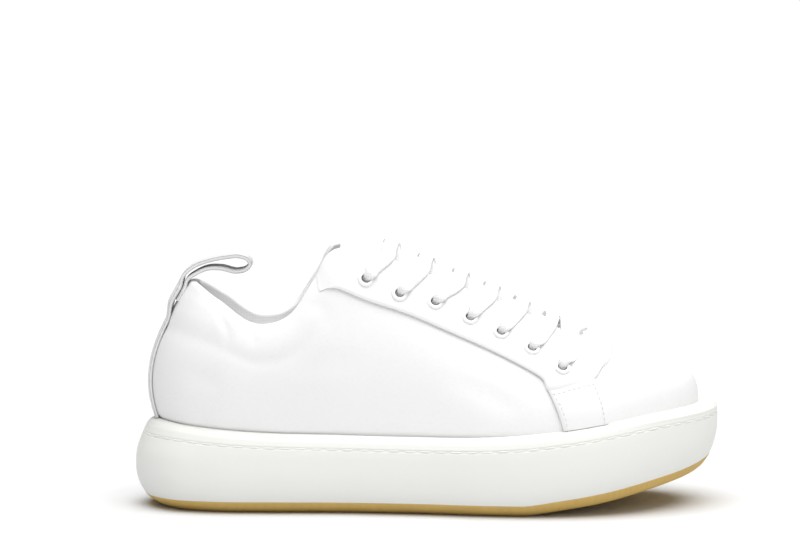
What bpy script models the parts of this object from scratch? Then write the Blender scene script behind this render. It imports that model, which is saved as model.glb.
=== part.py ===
"""Platform sneaker, right foot, in metres.

+X points to the toe, -Y to the lateral (outer) side, +Z up, and the sole stands on z = 0.
The sole is lofted around one plan outline. The upper is a fan of ribs, each a cubic curve from
the feather line, where the upper meets the sole, to the edge of the collar or the throat.
Every layer on the upper, the tongue, the eyelets and the laces are placed on that same surface.
"""

import math
from functools import lru_cache

import bmesh
import bpy
import numpy as np

# Sole sizes
SOLE_LENGTH = 0.282
BALL_WIDTH = 0.1015
WAIST_WIDTH = 0.075
HEEL_WIDTH = 0.075
SOLE_HEIGHT = 0.0367
HEEL_LIFT = 0.0057
TOE_LIFT = 0.0123
TOE_SPRING = 0.019
SIDE_BULGE = 0.010
OUTSOLE_THICKNESS = 0.0058
OUTSOLE_ROUNDING = 0.0012
CUP_DEPTH = 0.009
GROOVE_DEPTH = 0.0010
TREAD_WIDTH = 0.003
TREAD_DEPTH = 0.0012
TREAD_PITCH = 0.012
TREAD_MARGIN = 0.020
INSOLE_THICKNESS = 0.004
INSOLE_ROUNDING = 0.001

# Upper sizes, with heights above the sole's top edge
HEEL_HEIGHT = 0.0708
DIP_HEIGHT = 0.0520
INSTEP_HEIGHT = 0.0885
VAMP_HEIGHT = 0.0380
COLLAR_WIDTH = 0.058
THROAT_WIDTH = 0.025
WALL = 0.0020
COLLAR_WALL = 0.0050
LAYER = 0.0014
PANEL_INSET = 0.0006

# Tongue, strap and lace sizes
TONGUE_THICKNESS = 0.0032
TONGUE_RISE = 0.0030
TONGUE_TAPER = 0.35
TONGUE_SINK = 0.25
STRAP_WIDTH = 0.015
STRAP_THICKNESS = 0.0018
LOOP_LENGTH = 0.0350
LOOP_RISE = 0.0130
LACE_WIDTH = 0.0070
LACE_THICKNESS = 0.0013
LACE_START = 0.0055

# Eyelet sizes
FLANGE_RADIUS = 0.0041
FLANGE_HEIGHT = 0.0008
BARREL_RADIUS = 0.00255
EYELET_HOLE_RADIUS = 0.0021

# Gap between pieces that meet, and between curved layers
CLEARANCE = 0.0003
LAYER_GAP = 0.00055

# Mesh counts, and the longest step between the facing's rows as a share of the half outline
STATIONS = 60
RIB_STEPS = 9
FACING_STEPS = 5
FACING_STRIDE = 0.0275
PANEL_ROWS = 7
PANEL_STEPS = 6
TONGUE_ROWS = 10
STRAP_ROWS = 12
CROSSING_ROWS = 8
BAR_ROWS = 12
EYELET_SIDES = 8

# Plan outline from the heel round the lateral side to the toe and back along the medial side.
# Columns: share of the sole's length, width that the row follows, share of that width.
OUTLINE = (
    (0.000, HEEL_WIDTH, 0.000),
    (0.020, HEEL_WIDTH, -0.258),
    (0.060, HEEL_WIDTH, -0.408),
    (0.130, HEEL_WIDTH, -0.492),
    (0.220, HEEL_WIDTH, -0.512),
    (0.350, WAIST_WIDTH, -0.520),
    (0.480, WAIST_WIDTH, -0.572),
    (0.600, BALL_WIDTH, -0.482),
    (0.680, BALL_WIDTH, -0.500),
    (0.770, BALL_WIDTH, -0.481),
    (0.860, BALL_WIDTH, -0.402),
    (0.930, BALL_WIDTH, -0.275),
    (0.980, BALL_WIDTH, -0.110),
    (1.000, BALL_WIDTH, 0.070),
    (0.985, BALL_WIDTH, 0.245),
    (0.940, BALL_WIDTH, 0.365),
    (0.870, BALL_WIDTH, 0.450),
    (0.780, BALL_WIDTH, 0.495),
    (0.700, BALL_WIDTH, 0.498),
    (0.600, BALL_WIDTH, 0.455),
    (0.480, WAIST_WIDTH, 0.522),
    (0.360, WAIST_WIDTH, 0.482),
    (0.240, HEEL_WIDTH, 0.492),
    (0.140, HEEL_WIDTH, 0.484),
    (0.060, HEEL_WIDTH, 0.396),
    (0.020, HEEL_WIDTH, 0.250),
)

# Heights of the sole along its length.
# Columns: share of length, bottom as a share of the toe spring, top above SOLE_HEIGHT.
LEVELS = (
    (0.000, 0.00, 1.04 * HEEL_LIFT),
    (0.050, 0.00, 0.97 * HEEL_LIFT),
    (0.113, 0.00, 0.70 * HEEL_LIFT),
    (0.216, 0.00, 0.33 * HEEL_LIFT),
    (0.333, 0.00, 0.17 * HEEL_LIFT),
    (0.454, 0.00, 0.08 * HEEL_LIFT),
    (0.589, 0.00, 0.08 * TOE_LIFT),
    (0.660, 0.00, 0.19 * TOE_LIFT),
    (0.720, 0.13, 0.34 * TOE_LIFT),
    (0.794, 0.30, 0.58 * TOE_LIFT),
    (0.879, 0.56, 0.87 * TOE_LIFT),
    (0.950, 0.78, 0.98 * TOE_LIFT),
    (1.000, 1.00, 1.02 * TOE_LIFT),
)

# Side of the sole: how far each height lies inside the plan outline, as shares of SIDE_BULGE.
# Columns: share of the sole's height, heel, sides, toe. The last row is the feather line.
SIDE_PROFILE = (
    (0.000, 1.25, 0.95, 1.18),
    (0.040, 0.98, 0.72, 0.80),
    (0.110, 0.56, 0.40, 0.53),
    (0.180, 0.33, 0.23, 0.38),
    (0.270, 0.15, 0.10, 0.25),
    (0.400, 0.02, 0.02, 0.11),
    (0.520, 0.02, 0.00, 0.04),
    (0.640, 0.07, 0.02, 0.01),
    (0.780, 0.28, 0.07, 0.00),
    (0.880, 0.46, 0.16, 0.02),
    (0.945, 0.62, 0.30, 0.08),
    (0.985, 0.86, 0.52, 0.40),
    (1.000, 1.10, 0.75, 0.95),
)
# Middle and half height of the stitch groove, and the midsole's rings below and above it
GROOVE_CENTRE = 0.835
GROOVE_HALF = 0.022
RINGS_BELOW = (0.23, 0.34, 0.48, 0.62, 0.75)
RINGS_ABOVE = (0.945, 0.985)
# Shares of length between which the heel's column fades out and the toe's column comes in
HEEL_FADE = (0.00, 0.20)
TOE_FADE = (0.76, 1.00)

# Ribs of the upper from the heel (0) to the toe (1), the same for both sides.
# Columns: share of the half outline, edge's share of length, half width of the opening, edge's
# height, rise and outward lean in degrees at the sole, reach and fall in degrees at the edge.
RIBS = (
    (0.00, 0.094, 0.00 * COLLAR_WIDTH, 1.00 * HEEL_HEIGHT, 0.38 * HEEL_HEIGHT, 20, 0.35 * HEEL_HEIGHT, 60),
    (0.09, 0.112, 0.29 * COLLAR_WIDTH, 0.97 * HEEL_HEIGHT, 0.37 * HEEL_HEIGHT, 17, 0.34 * HEEL_HEIGHT, 64),
    (0.17, 0.152, 0.44 * COLLAR_WIDTH, 0.88 * HEEL_HEIGHT, 0.35 * HEEL_HEIGHT, 12, 0.32 * HEEL_HEIGHT, 68),
    (0.25, 0.215, 0.50 * COLLAR_WIDTH, 1.00 * DIP_HEIGHT, 0.42 * DIP_HEIGHT, 9, 0.38 * DIP_HEIGHT, 72),
    (0.31, 0.268, 0.49 * COLLAR_WIDTH, 1.09 * DIP_HEIGHT, 0.42 * DIP_HEIGHT, 6, 0.38 * DIP_HEIGHT, 68),
    (0.36, 0.306, 0.42 * COLLAR_WIDTH, 0.82 * INSTEP_HEIGHT, 0.30 * INSTEP_HEIGHT, 3, 0.28 * INSTEP_HEIGHT, 63),
    (0.41, 0.343, 0.72 * THROAT_WIDTH, 0.99 * INSTEP_HEIGHT, 0.32 * INSTEP_HEIGHT, 0, 0.29 * INSTEP_HEIGHT, 57),
    (0.46, 0.410, 0.56 * THROAT_WIDTH, 0.955 * INSTEP_HEIGHT, 0.32 * INSTEP_HEIGHT, -2, 0.29 * INSTEP_HEIGHT, 52),
    (0.55, 0.535, 0.50 * THROAT_WIDTH, 0.800 * INSTEP_HEIGHT, 0.29 * INSTEP_HEIGHT, -3, 0.27 * INSTEP_HEIGHT, 48),
    (0.63, 0.635, 0.48 * THROAT_WIDTH, 0.672 * INSTEP_HEIGHT, 0.26 * INSTEP_HEIGHT, -3, 0.26 * INSTEP_HEIGHT, 43),
    (0.71, 0.712, 0.45 * THROAT_WIDTH, 0.556 * INSTEP_HEIGHT, 0.25 * INSTEP_HEIGHT, -2, 0.27 * INSTEP_HEIGHT, 38),
    (0.79, 0.752, 0.36 * THROAT_WIDTH, 1.16 * VAMP_HEIGHT, 0.54 * VAMP_HEIGHT, 0, 0.66 * VAMP_HEIGHT, 33),
    (0.90, 0.768, 0.18 * THROAT_WIDTH, 1.20 * VAMP_HEIGHT, 0.58 * VAMP_HEIGHT, 3, 0.74 * VAMP_HEIGHT, 26),
    (1.00, 0.771, 0.00 * THROAT_WIDTH, 1.22 * VAMP_HEIGHT, 0.62 * VAMP_HEIGHT, 6, 0.80 * VAMP_HEIGHT, 22),
)
# Which columns of RIBS change sign from one side of the shoe to the other
RIB_SIGNS = (1, 1, -1, 1, 1, 1, 1, 1)

# The collar's padding ends between these stations and starts between these shares of a rib
PADDING_ENDS = (0.34, 0.42)
PADDING_STARTS = (0.55, 0.85)

# Stations of the tongue's top and toe end, and its columns as distances across the throat
TONGUE_SPAN = (0.430, 0.860)
TONGUE_COLUMNS = (-1.6, -1.3, -1.0, -0.6, -0.2, 0.2, 0.6, 1.0, 1.3, 1.6)

# Share of a rib that one unit across covers beyond the throat's edge
FLAP_SHARE = 0.40
# Stations among which a cross-section over the throat is looked for
THROAT_SEARCH = (0.36, 0.98)
# Distance across at which a crossing tucks in under the far flap
LACE_TUCK = 0.78

# Columns of the strap as shares of its half width
STRAP_COLUMNS = (-1.0, -0.5, 0.0, 0.5, 1.0)
# Shares of the heel's rib: where the strip leaves the heel, where its end is sewn down under
# itself, and between which shares it rises to make room for that end
STRAP_TOP = 0.94
STRAP_END = 0.86
STRAP_LIFT = (0.55, 0.80)

# Shift of the throat's middle to the medial side. Columns: share of length, shift.
CENTRE_LINE = (
    (0.00, 0.000),
    (0.30, 0.000),
    (0.50, 0.001),
    (0.77, 0.004),
    (1.00, 0.007),
)

# Lower edge of the facing on the lateral side, from the collar to the middle of the vamp.
# Columns: share of length, height above the sole's top, the rib that it faces at the throat.
FACING_EDGE = (
    (0.318, 0.775 * INSTEP_HEIGHT, 0.370),
    (0.337, 0.793 * INSTEP_HEIGHT, 0.395),
    (0.372, 0.757 * INSTEP_HEIGHT, 0.430),
    (0.425, 0.694 * INSTEP_HEIGHT, 0.475),
    (0.480, 0.632 * INSTEP_HEIGHT, 0.520),
    (0.545, 0.542 * INSTEP_HEIGHT, 0.575),
    (0.630, 0.421 * INSTEP_HEIGHT, 0.640),
    (0.682, 0.335 * INSTEP_HEIGHT, 0.690),
    (0.693, 0.308 * INSTEP_HEIGHT, 0.715),
    (0.700, 0.264 * INSTEP_HEIGHT, 0.740),
    (0.745, 0.282 * INSTEP_HEIGHT, 0.790),
    (0.778, 0.305 * INSTEP_HEIGHT, 0.850),
    (0.800, 0.370 * INSTEP_HEIGHT, 0.920),
)
FACING_FRONT = 0.815
# Share of a rib that the facing reaches, just short of the throat's rim
FACING_RIM = 0.995

# Side panel below the facing: its lower corners as shares of length, and its upper corners as
# places in the table of the facing's edge.
PANEL_FOOT = (0.726, 0.800)
PANEL_HEAD = (0.740, 0.850)

# Eyelets on the lateral side, top to bottom. Columns: share of length, height above the sole.
EYELETS = (
    (0.394, 0.832 * INSTEP_HEIGHT),
    (0.451, 0.753 * INSTEP_HEIGHT),
    (0.511, 0.704 * INSTEP_HEIGHT),
    (0.570, 0.621 * INSTEP_HEIGHT),
    (0.622, 0.543 * INSTEP_HEIGHT),
    (0.674, 0.458 * INSTEP_HEIGHT),
    (0.725, 0.359 * INSTEP_HEIGHT),
)

# Middle line of the pull loop in side view, over the collar and back under itself.
# Columns: share of its length forward of the strap, share of its rise above the heel's top edge.
LOOP_LINE = (
    (0.11, 0.36),
    (0.26, 0.66),
    (0.40, 0.80),
    (0.66, 0.95),
    (0.86, 0.98),
    (0.96, 0.88),
    (1.00, 0.69),
    (0.94, 0.50),
    (0.82, 0.42),
    (0.59, 0.54),
    (0.42, 0.53),
    (0.25, 0.34),
    (0.150, 0.15),
)


@lru_cache(maxsize=None)
def knots_and_slopes(rows):
    """Places, values and slopes of a table."""
    table = np.array(rows, dtype=float)
    return table[:, 0], table[:, 1:], np.gradient(table[:, 1:], table[:, 0], axis=0)


def smooth(rows, place):
    """Read a table at a place: a cubic curve through its rows, whose first column is the place."""
    knots, values, slopes = knots_and_slopes(rows)
    place = min(max(place, knots[0]), knots[-1])
    k = int(min(max(np.searchsorted(knots, place) - 1, 0), len(knots) - 2))
    span = knots[k + 1] - knots[k]
    u = (place - knots[k]) / span
    start = (1 + 2 * u) * (1 - u) ** 2 * values[k] + u * (1 - u) ** 2 * span * slopes[k]
    end = u * u * (3 - 2 * u) * values[k + 1] - u * u * (1 - u) * span * slopes[k + 1]
    return start + end


def as_table(rows):
    """Rows of numbers as a table that smooth() reads."""
    return tuple(tuple(float(value) for value in row) for row in rows)


def unit(vector):
    """A vector scaled to length 1."""
    return vector / np.linalg.norm(vector)


def blend(low, high, value):
    """Rise smoothly from 0 at low to 1 at high."""
    u = min(max((value - low) / (high - low), 0.0), 1.0)
    return u * u * (3 - 2 * u)


def length_share(x):
    """Share of the sole's length at x, 0 at the heel and 1 at the toe."""
    return x / SOLE_LENGTH + 0.5


def trace_outline():
    """Trace the plan outline densely: distance, x and y of the lateral and of the medial half."""
    points = np.array([((share - 0.5) * SOLE_LENGTH, part * width) for share, width, part in OUTLINE])
    count = len(points)
    wrapped = np.vstack([points[-3:], points, points[:4]])
    steps = np.linalg.norm(np.diff(wrapped, axis=0), axis=1)
    distance = np.concatenate([[0.0], np.cumsum(steps)])
    rows = as_table(np.column_stack([distance, wrapped]))
    toe = max(range(count), key=lambda i: points[i][0])
    halves = {}
    for side, first, last in ((-1, 3, 3 + toe), (1, 3 + count, 3 + toe)):
        places = np.linspace(distance[first], distance[last], 400)
        line = np.array([smooth(rows, place) for place in places])
        run = np.concatenate([[0.0], np.cumsum(np.linalg.norm(np.diff(line, axis=0), axis=1))])
        halves[side] = np.column_stack([run / run[-1], line])
    return halves


HALVES = trace_outline()


def split(s):
    """Turn a place around the shoe (0 heel, 1 toe, 2 heel again) into its half share and side."""
    s = s % 2.0
    if s <= 1.0:
        return s, -1
    return 2.0 - s, 1


@lru_cache(maxsize=None)
def outline(s):
    """Point and outward normal of the plan outline at a place around the shoe."""
    step = 0.004
    spots = []
    for place in (s - step, s, s + step):
        share, side = split(place)
        half = HALVES[side]
        x = np.interp(share, half[:, 0], half[:, 1])
        y = np.interp(share, half[:, 0], half[:, 2])
        spots.append(np.array((x, y)))
    along = unit(spots[2] - spots[0])
    return spots[1], np.array((along[1], -along[0]))


def sole_levels(x):
    """Heights of the sole's bottom and top edge at x."""
    spring, lift = smooth(LEVELS, length_share(x))
    return max(spring, 0.0) * TOE_SPRING, SOLE_HEIGHT + lift


def inset(height_share, x):
    """How far the sole's side lies inside the plan outline."""
    heel, side, toe = smooth(SIDE_PROFILE, height_share)
    share = length_share(x)
    at_heel = 1 - blend(*HEEL_FADE, share)
    at_toe = blend(*TOE_FADE, share)
    return SIDE_BULGE * (side + (heel - side) * at_heel + (toe - side) * at_toe)


def sole_point(s, height_share, extra=0.0, lift=0.0):
    """Point of the sole's side, moved inward by extra and up by lift."""
    spot, out = outline(s)
    spot = spot - out * (inset(height_share, spot[0]) + extra)
    bottom, top = sole_levels(spot[0])
    return np.array((spot[0], spot[1], bottom + height_share * (top - bottom) + lift))


def mirrored_ribs():
    """The rib table for one whole turn and a little over, with the widths signed by side."""
    half = [np.array(row, dtype=float) for row in RIBS]
    signs = np.array(RIB_SIGNS, dtype=float)
    rows = [row * signs for row in half]
    back = [np.concatenate([[2.0 - row[0]], row[1:]]) for row in reversed(half[1:-1])]
    turn = rows + back
    before = [np.concatenate([[row[0] - 2.0], row[1:]]) for row in turn[-3:]]
    after = [np.concatenate([[row[0] + 2.0], row[1:]]) for row in turn[:3]]
    return as_table(before + turn + after)


RIB_TABLE = mirrored_ribs()


@lru_cache(maxsize=None)
def rib_controls(s):
    """Control points of one rib: foot, its handle, the edge's handle and the edge."""
    x_share, half, height, rise, lean, reach, fall = smooth(RIB_TABLE, s)
    _, out = outline(s)
    foot = sole_point(s, 1.0)
    x = (x_share - 0.5) * SOLE_LENGTH
    middle = smooth(CENTRE_LINE, x_share)[0]
    edge = np.array((x, middle + half, SOLE_HEIGHT + height))
    lean = math.radians(lean)
    fall = math.radians(fall)
    first = foot + rise * np.array((out[0] * math.sin(lean), out[1] * math.sin(lean), math.cos(lean)))
    last = edge + reach * np.array((out[0] * math.cos(fall), out[1] * math.cos(fall), -math.sin(fall)))
    return foot, first, last, edge


def rib(s, t):
    """Point of the upper's outer face at a place around the shoe, from the sole (0) to the edge (1)."""
    foot, first, last, edge = rib_controls(s % 2.0)
    u = 1.0 - t
    return u ** 3 * foot + 3 * u * u * t * first + 3 * u * t * t * last + t ** 3 * edge


def upper_point(s, t, lift=0.0):
    """Point of the upper moved outward by lift along the surface's normal."""
    step = 0.004
    around = rib(s + step, t) - rib(s - step, t)
    low = max(t - step, 0.0)
    high = min(t + step, 1.0)
    along = rib(s, high) - rib(s, low)
    return rib(s, t) + lift * unit(np.cross(around, along))


def wall(s, t):
    """Thickness of the upper's wall: leather, thicker along the padded collar."""
    share, _ = split(s)
    padding = (1 - blend(*PADDING_ENDS, share)) * blend(*PADDING_STARTS, t)
    return WALL + (COLLAR_WALL - WALL) * padding


def locate(x, z):
    """Find the place on the lateral side that shows at x, z in side view."""
    def miss(spot):
        point = upper_point(spot[0], spot[1])
        return np.array((point[0] - x, point[2] - z))

    grid = [np.array((s, t)) for s in np.linspace(0.15, 0.98, 34) for t in np.linspace(0.05, 1.0, 16)]
    spot = min(grid, key=lambda place: float(np.sum(miss(place) ** 2)))
    step = 0.002
    for _ in range(8):
        error = miss(spot)
        change_s = (miss(spot + (step, 0)) - error) / step
        change_t = (miss(spot - (0, step)) - error) / -step
        move = np.linalg.solve(np.column_stack([change_s, change_t]), error)
        spot = spot - np.clip(move, -0.05, 0.05)
        spot[1] = min(max(spot[1], 0.0), 1.0)
    return spot


def throat_point(station, across, lift=0.0):
    """Point over the instep: across is -1 at the lateral edge of the throat and 1 at the medial.

    Beyond the edges it follows the upper, and between them a cubic curve joins the two flaps.
    """
    step = 0.02
    middle = throat_line(station, across)
    around = throat_line(station + step, across) - throat_line(station - step, across)
    over = throat_line(station, across + step) - throat_line(station, across - step)
    return middle + lift * unit(np.cross(around, over))


def throat_line(station, across):
    """Point of the cross-section over the instep, without lift."""
    if across < -1.0:
        return rib(station, 1.0 + (across + 1.0) * FLAP_SHARE)
    if across > 1.0:
        return rib(2.0 - station, 1.0 - (across - 1.0) * FLAP_SHARE)
    left = rib(station, 1.0)
    right = rib(2.0 - station, 1.0)
    handle = 0.50 * np.linalg.norm(right - left)
    rise_left = unit(left - rib(station, 0.97)) * handle
    rise_right = unit(right - rib(2.0 - station, 0.97)) * handle
    u = (across + 1.0) / 2.0
    v = 1.0 - u
    return v ** 3 * left + 3 * v * v * u * (left + rise_left) + 3 * v * u * u * (right + rise_right) + u ** 3 * right


def material(name, colour, roughness):
    """A plain Principled material."""
    made = bpy.data.materials.new(name)
    made.use_nodes = True
    shader = made.node_tree.nodes["Principled BSDF"]
    shader.inputs["Base Color"].default_value = (*colour, 1.0)
    shader.inputs["Roughness"].default_value = roughness
    shader.inputs["Metallic"].default_value = 0.0
    return made


def add_object(name, points, faces, look, sharp_degrees=40):
    """Make one named object from points and faces, with its faces turned outward."""
    mesh = bpy.data.meshes.new(name)
    mesh.from_pydata([tuple(point) for point in points], [], faces)
    work = bmesh.new()
    work.from_mesh(mesh)
    bmesh.ops.recalc_face_normals(work, faces=work.faces)
    work.to_mesh(mesh)
    work.free()
    mesh.materials.append(look)
    mesh.shade_smooth()
    mesh.set_sharp_from_angle(angle=math.radians(sharp_degrees))
    made = bpy.data.objects.new(name, mesh)
    bpy.context.scene.collection.objects.link(made)
    return made


def ring_faces(rings, count, closed_loop=False):
    """Faces between rings of count points each. With closed_loop the last ring joins the first."""
    faces = []
    pairs = rings if closed_loop else rings - 1
    for r in range(pairs):
        low = r * count
        high = (r + 1) % rings * count
        for i in range(count):
            j = (i + 1) % count
            faces.append((low + i, low + j, high + j, high + i))
    return faces


def cap_faces(start, count):
    """Strips across a ring, from each lateral point to the medial point opposite."""
    faces = []
    half = count // 2
    faces.append((start, start + 1, start + count - 1))
    for i in range(1, half - 1):
        faces.append((start + i, start + i + 1, start + count - i - 1, start + count - i))
    faces.append((start + half - 1, start + half, start + half + 1))
    return faces


def places():
    """Places around the shoe of the stations that every ring uses."""
    return [2.0 * i / STATIONS for i in range(STATIONS)]


def stacked(name, rings, look, sharp_degrees=40):
    """A solid of stacked rings, capped by strips at its first and last ring."""
    points = [point for ring in rings for point in ring]
    faces = ring_faces(len(rings), STATIONS)
    faces += cap_faces(0, STATIONS)
    faces += cap_faces((len(rings) - 1) * STATIONS, STATIONS)
    return add_object(name, points, faces, look, sharp_degrees)


def shell(name, outer, inner, look, sharp_degrees=40):
    """A closed sheet with a wall between two grids of points, each a list of rows."""
    rows = len(outer)
    columns = len(outer[0])
    size = rows * columns
    points = [point for row in outer for point in row] + [point for row in inner for point in row]
    faces = []
    for r in range(rows - 1):
        for c in range(columns - 1):
            a = r * columns + c
            quad = (a, a + 1, a + columns + 1, a + columns)
            faces.append(quad)
            faces.append(tuple(size + i for i in reversed(quad)))
    border = list(range(columns))
    border += [r * columns + columns - 1 for r in range(1, rows)]
    border += [(rows - 1) * columns + c for c in range(columns - 2, -1, -1)]
    border += [r * columns for r in range(rows - 2, 0, -1)]
    for k, a in enumerate(border):
        b = border[(k + 1) % len(border)]
        faces.append((b, a, size + a, size + b))
    return add_object(name, points, faces, look, sharp_degrees)


def cut(body, cutter):
    """Take the cutter out of the body."""
    step = body.modifiers.new("cut", "BOOLEAN")
    step.operation = "DIFFERENCE"
    step.object = cutter


def hide_cutter(cutter):
    """Mark an object as a cutter, which is no part of the shoe."""
    cutter.hide_render = True
    cutter.display_type = "WIRE"


def gum_ring(share_of_thickness, extra=0.0):
    """Ring of the outsole at a share of its thickness."""
    ring = []
    for s in places():
        spot, _ = outline(s)
        bottom, top = sole_levels(spot[0])
        share = share_of_thickness * OUTSOLE_THICKNESS / (top - bottom)
        ring.append(sole_point(s, share, extra))
    return ring


def build_outsole(look):
    """Gum outsole: full plan, rounded side and transverse grooves that stop short of its edge."""
    rings = [gum_ring(0.0, OUTSOLE_ROUNDING), gum_ring(0.15), gum_ring(0.55), gum_ring(1.0)]
    body = stacked("outsole", rings, look)
    points = []
    faces = []
    count = int((SOLE_LENGTH - 2 * TREAD_MARGIN) / TREAD_PITCH)
    start = -0.5 * (count - 1) * TREAD_PITCH
    for k in range(count):
        x = start + k * TREAD_PITCH
        share = length_share(x)
        low = np.interp(share, *edge_table(-1)) + TREAD_MARGIN
        high = np.interp(share, *edge_table(1)) - TREAD_MARGIN
        bottom, _ = sole_levels(x)
        first = len(points)
        for z in (bottom - TREAD_DEPTH, bottom + TREAD_DEPTH):
            for dx, y in ((-0.5, low), (0.5, low), (0.5, high), (-0.5, high)):
                points.append((x + dx * TREAD_WIDTH, y, z))
        for face in ((0, 1, 2, 3), (4, 5, 6, 7), (0, 1, 5, 4), (1, 2, 6, 5), (2, 3, 7, 6), (3, 0, 4, 7)):
            faces.append(tuple(first + i for i in face))
    grooves = add_object("tread_cutter", points, faces, look)
    hide_cutter(grooves)
    cut(body, grooves)
    return body


def edge_table(side):
    """Length shares and y of one side of the plan outline."""
    half = HALVES[side]
    return length_share(half[:, 1]), half[:, 2]


def build_midsole(look):
    """Cupsole: bulging side with a stitch groove, a ledge, and a cup for the upper and insole."""
    bottom_ring = []
    for point in gum_ring(1.0):
        bottom_ring.append(point + np.array((0.0, 0.0, CLEARANCE)))
    rings = [bottom_ring]
    for share in RINGS_BELOW:
        rings.append([sole_point(s, share) for s in places()])
    rings.append([sole_point(s, GROOVE_CENTRE - GROOVE_HALF) for s in places()])
    rings.append([sole_point(s, GROOVE_CENTRE, GROOVE_DEPTH) for s in places()])
    rings.append([sole_point(s, GROOVE_CENTRE + GROOVE_HALF) for s in places()])
    for share in RINGS_ABOVE:
        rings.append([sole_point(s, share) for s in places()])
    rings.append([sole_point(s, 1.0, -CLEARANCE) for s in places()])
    rings.append([sole_point(s, 1.0, -CLEARANCE, -CUP_DEPTH) for s in places()])
    return stacked("midsole", rings, look, 30)


def build_insole(look):
    """Footbed on the floor of the cup, inside the upper's lower edge."""
    margin = WALL + CLEARANCE
    floor = CLEARANCE - CUP_DEPTH
    top = floor + INSOLE_THICKNESS
    rings = [[sole_point(s, 1.0, margin, floor) for s in places()]]
    rings.append([sole_point(s, 1.0, margin, top - INSOLE_ROUNDING) for s in places()])
    rings.append([sole_point(s, 1.0, margin + INSOLE_ROUNDING, top) for s in places()])
    return stacked("insole", rings, look)


def build_upper(look):
    """Hollow upper: outer face, rim, inner face and the lower edge that stands in the cup."""
    skirt = CLEARANCE - CUP_DEPTH
    shares = np.linspace(0.0, 1.0, RIB_STEPS + 1)
    rings = [[sole_point(s, 1.0, 0.0, skirt) for s in places()]]
    for t in shares:
        rings.append([upper_point(s, t) for s in places()])
    for t in shares[::-1]:
        rings.append([upper_point(s, t, -wall(s, t)) for s in places()])
    rings.append([sole_point(s, 1.0, WALL, skirt) for s in places()])
    points = [point for ring in rings for point in ring]
    faces = ring_faces(len(rings), STATIONS, closed_loop=True)
    return add_object("upper", points, faces, look)


def facing_table():
    """Lower edge of the facing in rib coordinates, for the whole turn from collar to collar."""
    lateral = []
    for share, height, station in FACING_EDGE:
        s, t = locate((share - 0.5) * SOLE_LENGTH, SOLE_HEIGHT + height)
        lateral.append((station, s, t))
    front = (FACING_FRONT - 0.5) * SOLE_LENGTH
    reach = min(np.linspace(0.3, 1.0, 141), key=lambda t: abs(rib(1.0, t)[0] - front))
    medial = [(2.0 - station, 2.0 - s, t) for station, s, t in reversed(lateral)]
    return as_table(lateral + [(1.0, 1.0, reach)] + medial)


def layer(name, lines, look):
    """A layer of leather on the upper, from rows of places in rib coordinates."""
    outer = [[upper_point(s, t, LAYER_GAP + LAYER) for s, t in line] for line in lines]
    inner = [[upper_point(s, t, LAYER_GAP) for s, t in line] for line in lines]
    return shell(name, outer, inner, look)


def build_facing(look, table):
    """Eyestay layer around the throat, from one side of the collar to the other."""
    lines = []
    stations = [table[0][0]]
    for row, after in zip(table, table[1:]):
        steps = math.ceil((after[0] - row[0]) / FACING_STRIDE)
        stations += [row[0] + (after[0] - row[0]) * (k + 1) / steps for k in range(steps)]
    for station in stations:
        s, t = smooth(table, station)
        parts = np.linspace(0.0, 1.0, FACING_STEPS)
        lines.append([(s + (station - s) * part, t + (FACING_RIM - t) * part) for part in parts])
    return layer("facing", lines, look)


def build_panel(name, side, look, table):
    """Box-shaped layer between the facing's front corner and the sole."""
    feet = []
    for share in PANEL_FOOT:
        x = (share - 0.5) * SOLE_LENGTH
        feet.append(locate(x, sole_levels(x)[1] + 2 * CLEARANCE))
    lines = []
    for u in np.linspace(0.0, 1.0, PANEL_ROWS):
        low = feet[0] * (1 - u) + feet[1] * u
        high = smooth(table, PANEL_HEAD[0] * (1 - u) + PANEL_HEAD[1] * u)
        high = high - np.array((0.0, PANEL_INSET / INSTEP_HEIGHT))
        line = []
        for v in np.linspace(0.0, 1.0, PANEL_STEPS):
            s, t = low * (1 - v) + high * v
            line.append((s if side < 0 else 2.0 - s, t))
        lines.append(line)
    return layer(name, lines, look)


def tongue_rows():
    """Stations of the tongue from its top to its toe end, and how far each rises past the throat."""
    top, front = TONGUE_SPAN
    rows = [(top, TONGUE_RISE)]
    rows += [(station, 0.0) for station in np.linspace(top + 0.01, front, TONGUE_ROWS)]
    return rows


def build_tongue(look):
    """Tongue under both flaps, arched over the instep."""
    outer = []
    inner = []
    top = TONGUE_SPAN[0]
    up = unit(throat_line(top, 0.0) - throat_line(top + 0.04, 0.0))
    for station, rise in tongue_rows():
        line_out = []
        line_in = []
        narrow = 1.0 - TONGUE_TAPER * rise / TONGUE_RISE
        depth = WALL + LAYER_GAP + TONGUE_SINK * rise
        for across in np.array(TONGUE_COLUMNS) * narrow:
            line_out.append(throat_point(station, across, -depth) + up * rise)
            line_in.append(throat_point(station, across, -depth - TONGUE_THICKNESS) + up * rise)
        outer.append(line_out)
        inner.append(line_in)
    return shell("tongue", outer, inner, look)


def eyelet_frames(spots):
    """Centre and axis of each eyelet, on the facing's outer face."""
    frames = []
    for side in (-1, 1):
        for k, (s, t) in enumerate(spots):
            place = s if side < 0 else 2.0 - s
            base = upper_point(place, t, LAYER_GAP + LAYER)
            axis = unit(base - upper_point(place, t, 0.0))
            frames.append((side, k + 1, base, axis))
    return frames


def turned(base, axis, profile, sides):
    """Points and faces of a closed profile (radius, height) turned about an axis."""
    across = unit(np.cross(axis, np.array((1.0, 0.0, 0.0))))
    other = np.cross(axis, across)
    points = []
    for radius, height in profile:
        for k in range(sides):
            angle = 2 * math.pi * k / sides
            ray = across * math.cos(angle) + other * math.sin(angle)
            points.append(base + axis * height + ray * radius)
    return points


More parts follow.
